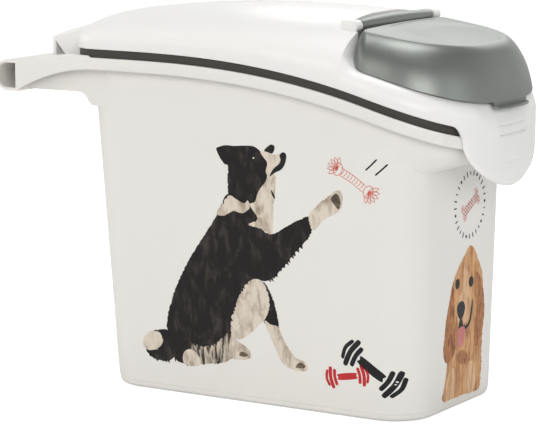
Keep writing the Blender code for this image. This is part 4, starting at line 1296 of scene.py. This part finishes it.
sitting = {   # a sitting dog with one paw raised, x and z in millimetres
    "coat": [
        (3.0, 3, [(4, 194), (-8, 174), (-22, 154), (-38, 132), (-51, 110), (-61, 88), (-67, 66), (-64, 48),
                  (-60, 34),
                  (-44, 29), (-24, 36), (-8, 48), (2, 60), (8, 76), (14, 94), (20, 108), (34, 116), (46, 118),
                  (58, 128), (76, 148), (92, 166), (91, 181), (70, 172), (50, 161), (36, 168), (28, 176),
                  (16, 186)]),
        (1.0, 4, [(6, 192), (5, 208), (6, 220), (2, 222), (-3, 228), (-6, 235), (-3, 237), (4, 239),
                  (13, 239), (24, 240),
                  (34, 240), (42, 235), (47, 228), (48, 218), (45, 208), (38, 200), (34, 190), (24, 184),
                  (14, 188)]),
        (0.6, 5, [(45, 237), (52, 243), (56, 241), (53, 235)]),
        (2.0, 6, [(40, 116), (48, 106), (53, 90), (55, 72), (47, 74), (39, 80), (42, 92), (40, 104)]),
        (2.2, 7, [(-62, 58), (-76, 59), (-88, 54), (-92, 40), (-84, 31), (-68, 30), (-58, 38)]),
        (1.0, 8, [(4, 184), (12, 178), (22, 178), (34, 170), (24, 164), (6, 164)]),
        (0.6, 9, [(14, 192), (36, 192), (48, 176), (44, 164), (26, 166), (12, 178)]),
    ],
    "fleece": [
        (1.6, 13, [(34, 190), (38, 200), (45, 208), (50, 216), (56, 214), (55, 200), (53, 186), (52, 172),
                   (50, 161),
                   (40, 165), (26, 168), (36, 174), (28, 186)]),
        (1.6, 14, [(-3, 183), (6, 193), (14, 190), (22, 187), (26, 190), (28, 184), (20, 178), (10, 179),
                   (0, 174), (-8, 175)]),
        (0.5, 15, [(41, 236), (48, 236), (56, 234), (64, 236), (64, 227), (60, 221), (50, 214), (46, 218),
                   (48, 226), (44, 231)]),
        (1.2, 16, [(90, 182), (98, 191), (110, 201), (120, 207), (125, 202), (123, 191), (116, 185),
                   (106, 180), (97, 171), (92, 170)]),
        (2.4, 17, [(18, 108), (28, 117), (38, 117), (44, 108), (46, 94), (41, 82), (34, 76), (26, 68),
                   (14, 60), (4, 62),
                   (4, 76), (10, 92)]),
        (0.8, 18, [(40, 80), (46, 66), (52, 54), (57, 44), (64, 39), (76, 37), (84, 39), (82, 46), (72, 49),
                   (64, 58),
                   (58, 68), (54, 76), (47, 77)]),
        (1.4, 19, [(-84, 57), (-93, 50), (-94, 41), (-86, 38), (-74, 44), (-74, 55)]),
        (1.0, 20, [(4, 60), (14, 56), (23, 50), (23, 43), (12, 40), (2, 43)]),
        (0.8, 21, [(-49, 40), (-42, 44), (-34, 40), (-31, 31), (-42, 28), (-50, 31)]),
    ],
    "fringe": [
        (2.6, 25, [(-42, 50), (-28, 48), (-12, 54), (0, 64), (8, 56), (6, 44), (-4, 36), (-20, 33),
                   (-34, 32)]),
    ],
    "pad": [
        (0.2, 31, [(113, 199), (119, 204), (123, 198), (121, 190), (117, 193)]),
        (0.2, 32, [(72, 40), (80, 40), (82, 43), (76, 45)]),
        (0.2, 33, [(12, 44), (20, 44), (20, 47), (14, 48)]),
    ],
    "black": [
        (0.3, 41, [(61, 234), (65, 237), (68, 234), (66, 226), (62, 221), (56, 218), (50, 214), (54, 221),
                   (60, 226), (62, 230)]),
        (0.1, 42, [(51, 202), (54, 198), (55, 194), (52, 197)]),
    ],
}


def boneParts(x, z, turn, length):
    # a toy bone: a bar between two pairs of banded, rounded ends
    parts = [[(-0.235, -0.060), (0.0, -0.075), (0.235, -0.060), (0.225, 0.0), (0.235, 0.060), (0.0, 0.075),
              (-0.235, 0.060),
              (-0.225, 0.0)]]
    for side in (-1.0, 1.0):
        for near, far, high, bow in ((0.255, 0.325, 0.17, 0.02), (0.345, 0.425, 0.23, 0.03),
                                     (0.445, 0.505, 0.17, 0.04)):
            middle = 0.5 * (near + far)
            parts.append([(side * u, v) for u, v in (
                (near, -0.9 * high), (middle, -1.05 * high), (far, -0.9 * high), (far + bow, 0.0),
                (far, 0.9 * high),
                (middle, 1.05 * high), (near, 0.9 * high), (near + bow, 0.0))])
    return [placed(part, x, z, turn, length) for part in parts]


def ropeStrokes():
    lines = []
    for knotX, knotZ, turn in ((121.0, 226.0, 150.0), (151.0, 208.0, -35.0)):
        for fan in (-70.0, -45.0, -20.0, 5.0, 30.0, 55.0):
            tip = math.radians(turn + fan)
            side = math.radians(turn + fan + 16.0)
            middle = (knotX + 6.0 * math.cos(side), knotZ + 6.0 * math.sin(side))
            end = (knotX + 11.0 * math.cos(tip), knotZ + 11.0 * math.sin(tip))
            back = (knotX + 6.5 * math.cos(tip - 0.35), knotZ + 6.5 * math.sin(tip - 0.35))
            lines.append(stroke([(knotX, knotZ), middle, end], 0.55))
            lines.append(stroke([end, back, (knotX + 1.0 * math.cos(tip), knotZ + 1.0 * math.sin(tip))],
                                0.45))
        lines.append(stroke(oval(knotX, knotZ, 4.2, 6.0, turn)[:15], 0.6))
    for step in range(8):
        t = (step + 0.5) / 8
        x, z = mixed(125.0, 147.0, t), mixed(224.0, 211.5, t)
        lines.append(stroke([(x - 2.6, z - 1.6), (x, z + 0.4), (x + 1.2, z + 3.4)], 0.5))
    lines.append(stroke([(124, 228), (136, 222), (149, 213)], 0.5))
    lines.append(stroke([(122, 221), (134, 215), (146, 207)], 0.5))
    return lines


bust = {   # a long-eared dog's head and chest, y and z in millimetres
    "gold": [
        (1.8, 51, [(16, 147), (6, 140), (-6, 130), (-16, 118), (-22, 104), (-26, 88), (-28, 72), (-27, 56),
                   (-25, 42),
                   (-29, 26), (-33, 12), (-18, 11), (0, 10), (20, 9.5), (39, 9.5), (42, 20), (43, 36),
                   (43, 52), (44, 68),
                   (45, 84), (44, 100), (42, 114), (37, 126), (30, 136), (24, 143)]),
    ],
    "amber": [
        (1.8, 52, [(-16, 114), (-23, 100), (-28, 86), (-31, 70), (-33, 56), (-28, 46), (-18, 46), (-10, 56),
                   (-11, 70),
                   (-13, 86), (-13, 100)]),
        (1.8, 53, [(31, 120), (39, 113), (45, 98), (47, 82), (45, 68), (40, 56), (33, 50), (27, 58),
                   (29, 74), (31, 90), (29, 106)]),
        (1.2, 54, [(4, 52), (12, 48), (18, 42), (8, 38), (-4, 42), (-6, 50)]),
    ],
    "cream": [
        (0.9, 55, [(8, 132), (13, 122), (14, 110), (18, 100), (20, 88), (14, 78), (0, 76), (-8, 84),
                   (-8, 96), (0, 106),
                   (4, 116), (4, 126)]),
        (1.6, 56, [(-22, 34), (-12, 38), (-8, 26), (-12, 12), (-24, 10), (-30, 12)]),
        (1.6, 57, [(14, 36), (26, 38), (32, 24), (28, 10), (14, 10), (10, 22)]),
    ],
    "black": [
        (0.2, 61, oval(-8, 115, 4.2, 4.8)), (0.2, 62, oval(19, 113, 4.4, 5.0)),
        (0.2, 63, [(-8, 92), (-4, 97), (4, 97), (8, 91), (5, 84), (0, 81), (-5, 84)]),
        (0.3, 64, [(-2, 81), (2, 81), (5, 75), (12, 74), (17, 78), (20, 88), (23, 96), (22, 84), (18, 74),
                   (8, 70), (-4, 71)]),
    ],
    "pink": [
        (0.2, 71, [(-5, 72), (2, 74), (8, 72), (8, 63), (5, 57), (0, 55), (-5, 58), (-6, 65)]),
    ],
}
ring = {"y": 14.0, "z": 184.5, "radius": 29.0, "marks": 28, "dotEvery": 5, "thick": 1.7}


def printShapes():
    shapes = []   # ink, wall, layer, outline
    order = {"coat": 0, "fringe": 1, "fleece": 2, "pad": 3, "black": 3, "gold": 0, "amber": 1, "cream": 2,
             "pink": 4}
    for wall, group in (("side", sitting), ("front", bust)):
        for key, outlines in group.items():
            for place, (reach, seed, points) in enumerate(outlines):
                shapes.append((key, wall, order[key] + 0.12 * place, furred(points, reach, seed)))
    shapes += [("fleece", "side", 4, oval(33.5, 229.5, 1.0, 0.8, 20.0, 10))]
    shapes += [("red", "side", 0, curved(part)) for part in boneParts(125.5, 38.0, 10.0, 42.0)]
    shapes += [("black", "side", 0, curved(part)) for part in boneParts(150.0, 47.5, -34.0, 60.0)]
    shapes += [("line", "side", 0, line) for line in ropeStrokes()]
    for x, z in ((149.0, 227.0), (158.0, 223.0)):
        shapes.append(("black", "side", 0, stroke([(x, z), (x + 5.5, z + 5.0), (x + 11.0, z + 10.5)], 1.4)))
    bone = [(-12, 6), (-15, 10), (-20, 10), (-22, 5), (-20, 0), (-22, -5), (-20, -10), (-15, -10),
            (-12, -6), (0, -5.5),
            (12, -6), (15, -10), (20, -10), (22, -5), (20, 0), (22, 5), (20, 10), (15, 10), (12, 6), (0, 5.5)]
    shapes.append(("blush", "front", 0, curved(placed(bone, ring["y"] + 1.0, ring["z"], 27.0, 0.82))))
    for row in (-2, -1, 0, 1, 2):
        for k in range(10):
            u, v = -18.0 + 4.0 * k + 2.0 * (row % 2), 3.4 * row
            if abs(v) < 4.0 or abs(u) > 14.0:
                dot = placed([(u, v)], ring["y"] + 1.0, ring["z"], 27.0, 0.82)[0]
                shapes.append(("black", "front", 1, oval(*dot, 0.7, 0.7, 0.0, 8)))
    return shapes


def makePrints():
    meshes = {}
    for key, wall, layer, outline in printShapes():
        slabInto(meshes.setdefault(key, bmesh.new()), outline, wall, layer)
    for key, bm in meshes.items():
        piece = meshFrom(key + "Print", bm, 20.0)
        piece.data.materials.append(ink(key + "Ink", inks[key]))
        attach(piece, "tub")


def ringTree(finish):
    # short marks spaced round a circle, every few of them a round dot
    tree = bpy.data.node_groups.new("markRing", "GeometryNodeTree")
    face = tree.interface
    for name, value in (("Radius", 0.03), ("Thickness", 0.001), ("Length", 0.004), ("Depth", 0.0002)):
        face.new_socket(name, in_out="INPUT", socket_type="NodeSocketFloat").default_value = value
    for name, value in (("Marks", 24), ("Dot Every", 6), ("Seed", 5)):
        face.new_socket(name, in_out="INPUT", socket_type="NodeSocketInt").default_value = value
    face.new_socket("Geometry", in_out="OUTPUT", socket_type="NodeSocketGeometry")
    nodes, links = tree.nodes, tree.links
    given, out = nodes.new("NodeGroupInput"), nodes.new("NodeGroupOutput")
    circle = nodes.new("GeometryNodeMeshCircle")
    links.new(given.outputs["Marks"], circle.inputs["Vertices"])
    links.new(given.outputs["Radius"], circle.inputs["Radius"])
    bar = nodes.new("GeometryNodeMeshCylinder")
    bar.inputs["Vertices"].default_value = 12
    links.new(given.outputs["Thickness"], bar.inputs["Radius"])
    links.new(given.outputs["Depth"], bar.inputs["Depth"])
    place = nodes.new("GeometryNodeInstanceOnPoints")
    links.new(circle.outputs["Mesh"], place.inputs["Points"])
    links.new(bar.outputs["Mesh"], place.inputs["Instance"])
    at = nodes.new("GeometryNodeInputPosition")
    turn = nodes.new("FunctionNodeAlignRotationToVector")
    turn.axis = "X"
    links.new(at.outputs["Position"], turn.inputs["Vector"])
    links.new(turn.outputs["Rotation"], place.inputs["Rotation"])
    stretch = nodes.new("ShaderNodeCombineXYZ")
    chance = nodes.new("FunctionNodeRandomValue")
    chance.inputs[2].default_value = 1.6
    chance.inputs[3].default_value = 3.8
    links.new(given.outputs["Seed"], chance.inputs["Seed"])
    number = nodes.new("GeometryNodeInputIndex")
    rest = nodes.new("ShaderNodeMath")
    rest.operation = "MODULO"
    links.new(number.outputs["Index"], rest.inputs[0])
    links.new(given.outputs["Dot Every"], rest.inputs[1])
    isDot = nodes.new("ShaderNodeMath")
    isDot.operation = "LESS_THAN"
    isDot.inputs[1].default_value = 0.5
    links.new(rest.outputs[0], isDot.inputs[0])
    reach = nodes.new("ShaderNodeMix")
    links.new(isDot.outputs[0], reach.inputs[0])
    links.new(chance.outputs[1], reach.inputs[2])
    reach.inputs[3].default_value = 1.7
    across = nodes.new("ShaderNodeMix")
    links.new(isDot.outputs[0], across.inputs[0])
    across.inputs[2].default_value = 0.8
    across.inputs[3].default_value = 1.7
    links.new(reach.outputs[0], stretch.inputs[0])
    links.new(across.outputs[0], stretch.inputs[1])
    stretch.inputs[2].default_value = 1.0
    links.new(stretch.outputs[0], place.inputs["Scale"])
    real = nodes.new("GeometryNodeRealizeInstances")
    paint = nodes.new("GeometryNodeSetMaterial")
    paint.inputs["Material"].default_value = finish
    links.new(place.outputs["Instances"], real.inputs["Geometry"])
    links.new(real.outputs["Geometry"], paint.inputs["Geometry"])
    links.new(paint.outputs["Geometry"], out.inputs["Geometry"])
    return tree


def makeRing():
    # the marks lie flat on the front wall, which leans slightly
    top, _ = onWall("front", 0.001 * ring["y"], 0.001 * (ring["z"] + ring["radius"]))
    low, _ = onWall("front", 0.001 * ring["y"], 0.001 * (ring["z"] - ring["radius"]))
    up = (top - low).normalized()
    across = Vector((0.0, 1.0, 0.0))
    out = across.cross(up)
    holder = bpy.data.objects.new("markRing", bpy.data.meshes.new("markRing"))
    bpy.context.scene.collection.objects.link(holder)
    finish = ink("ringInk", inks["black"])
    tree = ringTree(finish)
    live = holder.modifiers.new("ring", "NODES")
    live.node_group = tree
    for name, value in (("Radius", 0.001 * ring["radius"]), ("Thickness", 0.0005 * ring["thick"]),
                        ("Depth", 0.0003),
                        ("Marks", ring["marks"]), ("Dot Every", ring["dotEvery"]), ("Seed", 11)):
        live[inputId(tree, name)] = value
    settle(holder)
    frameOf = Matrix((across, up, out)).transposed().to_4x4()
    frameOf.translation = (top + low) * 0.5 + out * 0.00005
    holder.data.transform(frameOf)
    finishShading(holder, 30.0)
    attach(holder, "tub")


makePrints()
makeRing()
print("prints ready")


def flatMaterial(name, color, roughness):
    made = bpy.data.materials.new(name)
    made.use_nodes = True
    shader = made.node_tree.nodes["Principled BSDF"]
    shader.inputs["Base Color"].default_value = (*color, 1.0)
    shader.inputs["Roughness"].default_value = roughness
    return made


studio = {
    "floor": (0.88, 0.88, 0.88), "floorGlow": 0.60, "worldLow": 0.80, "worldHigh": 0.34,
    "lights": (
        ("key", (1.85, -2.35, 1.35), (0.0, 0.0, 0.2), 1.7, 0.8, 21.0, (1.0, 0.99, 0.98)),
        ("side", (-0.9, -2.6, 1.7), (0.0, 0.0, 0.15), 1.2, 1.0, 7.5, (1.0, 0.97, 0.92)),
        ("left", (-2.4, -0.9, 1.0), (-0.1, 0.0, 0.25), 1.4, 1.2, 11.0, (1.0, 0.975, 0.94)),
        ("front", (2.5, -0.2, 1.0), (0.2, 0.0, 0.2), 1.2, 1.2, 4.0, (0.93, 0.97, 1.0)),
        ("top", (0.0, 0.1, 2.7), (0.0, 0.0, 0.3), 1.4, 1.4, 25.0, (1.0, 1.0, 1.0)),
        ("back", (-0.6, 2.3, 1.7), (0.0, 0.0, 0.2), 1.8, 1.0, 12.0, (1.0, 1.0, 1.0)),
    ),
}


def makeFloor():
    bm = bmesh.new()
    ring = [bm.verts.new((9.0 * math.cos(2.0 * math.pi * s / 48), 9.0 * math.sin(2.0 * math.pi * s / 48),
                          -0.0002))
            for s in range(48)]
    bm.faces.new(ring)
    floor = meshFrom("studioFloor", bm)
    paint = flatMaterial("paleFloor", studio["floor"], 0.85)
    shader = paint.node_tree.nodes["Principled BSDF"]
    shader.inputs["Emission Color"].default_value = (1.0, 1.0, 1.0, 1.0)
    nodes, links = paint.node_tree.nodes, paint.node_tree.links
    path = nodes.new("ShaderNodeLightPath")       # the floor looks white but throws no extra light
    glow = nodes.new("ShaderNodeMath")
    glow.operation = "MULTIPLY"
    glow.inputs[1].default_value = studio["floorGlow"]
    links.new(path.outputs["Is Camera Ray"], glow.inputs[0])
    links.new(glow.outputs[0], shader.inputs["Emission Strength"])
    floor.data.materials.append(paint)


def makeLight(name, place, aim, width, height, power, color):
    data = bpy.data.lights.new(name, "AREA")
    data.shape = "RECTANGLE"
    data.size, data.size_y = width, height
    data.energy = power
    data.color = color
    light = bpy.data.objects.new(name, data)
    bpy.context.scene.collection.objects.link(light)
    light.location = place
    light.rotation_euler = (Vector(aim) - Vector(place)).to_track_quat("-Z", "Y").to_euler()


def makeWorld():
    world = bpy.data.worlds.new("softStudio")
    world.use_nodes = True
    back = world.node_tree.nodes["Background"]
    nodes, links = world.node_tree.nodes, world.node_tree.links
    where = nodes.new("ShaderNodeTexCoord")
    split = nodes.new("ShaderNodeSeparateXYZ")
    links.new(where.outputs["Generated"], split.inputs[0])
    level = nodes.new("ShaderNodeMapRange")      # brighter towards the horizon
    level.interpolation_type = "SMOOTHSTEP"
    level.inputs["From Min"].default_value = 0.10
    level.inputs["From Max"].default_value = 0.75
    level.inputs["To Min"].default_value = studio["worldLow"]
    level.inputs["To Max"].default_value = studio["worldHigh"]
    links.new(split.outputs[2], level.inputs["Value"])
    back.inputs["Color"].default_value = (1.0, 1.0, 1.0, 1.0)
    links.new(level.outputs["Result"], back.inputs["Strength"])
    bpy.context.scene.world = world


view = {"azimuth": 31.509, "elevation": 9.294, "distance": 2.431, "target": (-0.0122, 0.0, 0.1591),
        "lens": 172.148}


def makeCamera():
    a, e = math.radians(view["azimuth"]), math.radians(view["elevation"])
    back = Vector((math.sin(a) * math.cos(e), -math.cos(a) * math.cos(e), math.sin(e)))
    data = bpy.data.cameras.new("studioCamera")
    data.sensor_width = 36.0
    data.lens = view["lens"]
    data.clip_start = 0.05
    data.clip_end = 60.0
    camera = bpy.data.objects.new("studioCamera", data)
    bpy.context.scene.collection.objects.link(camera)
    camera.location = Vector(view["target"]) + view["distance"] * back
    camera.rotation_euler = (-back).to_track_quat("-Z", "Y").to_euler()
    bpy.context.scene.camera = camera


makeFloor()
makeWorld()
for setup in studio["lights"]:
    makeLight(*setup)
makeCamera()
bpy.context.scene.view_settings.view_transform = "Standard"
print("studio ready")
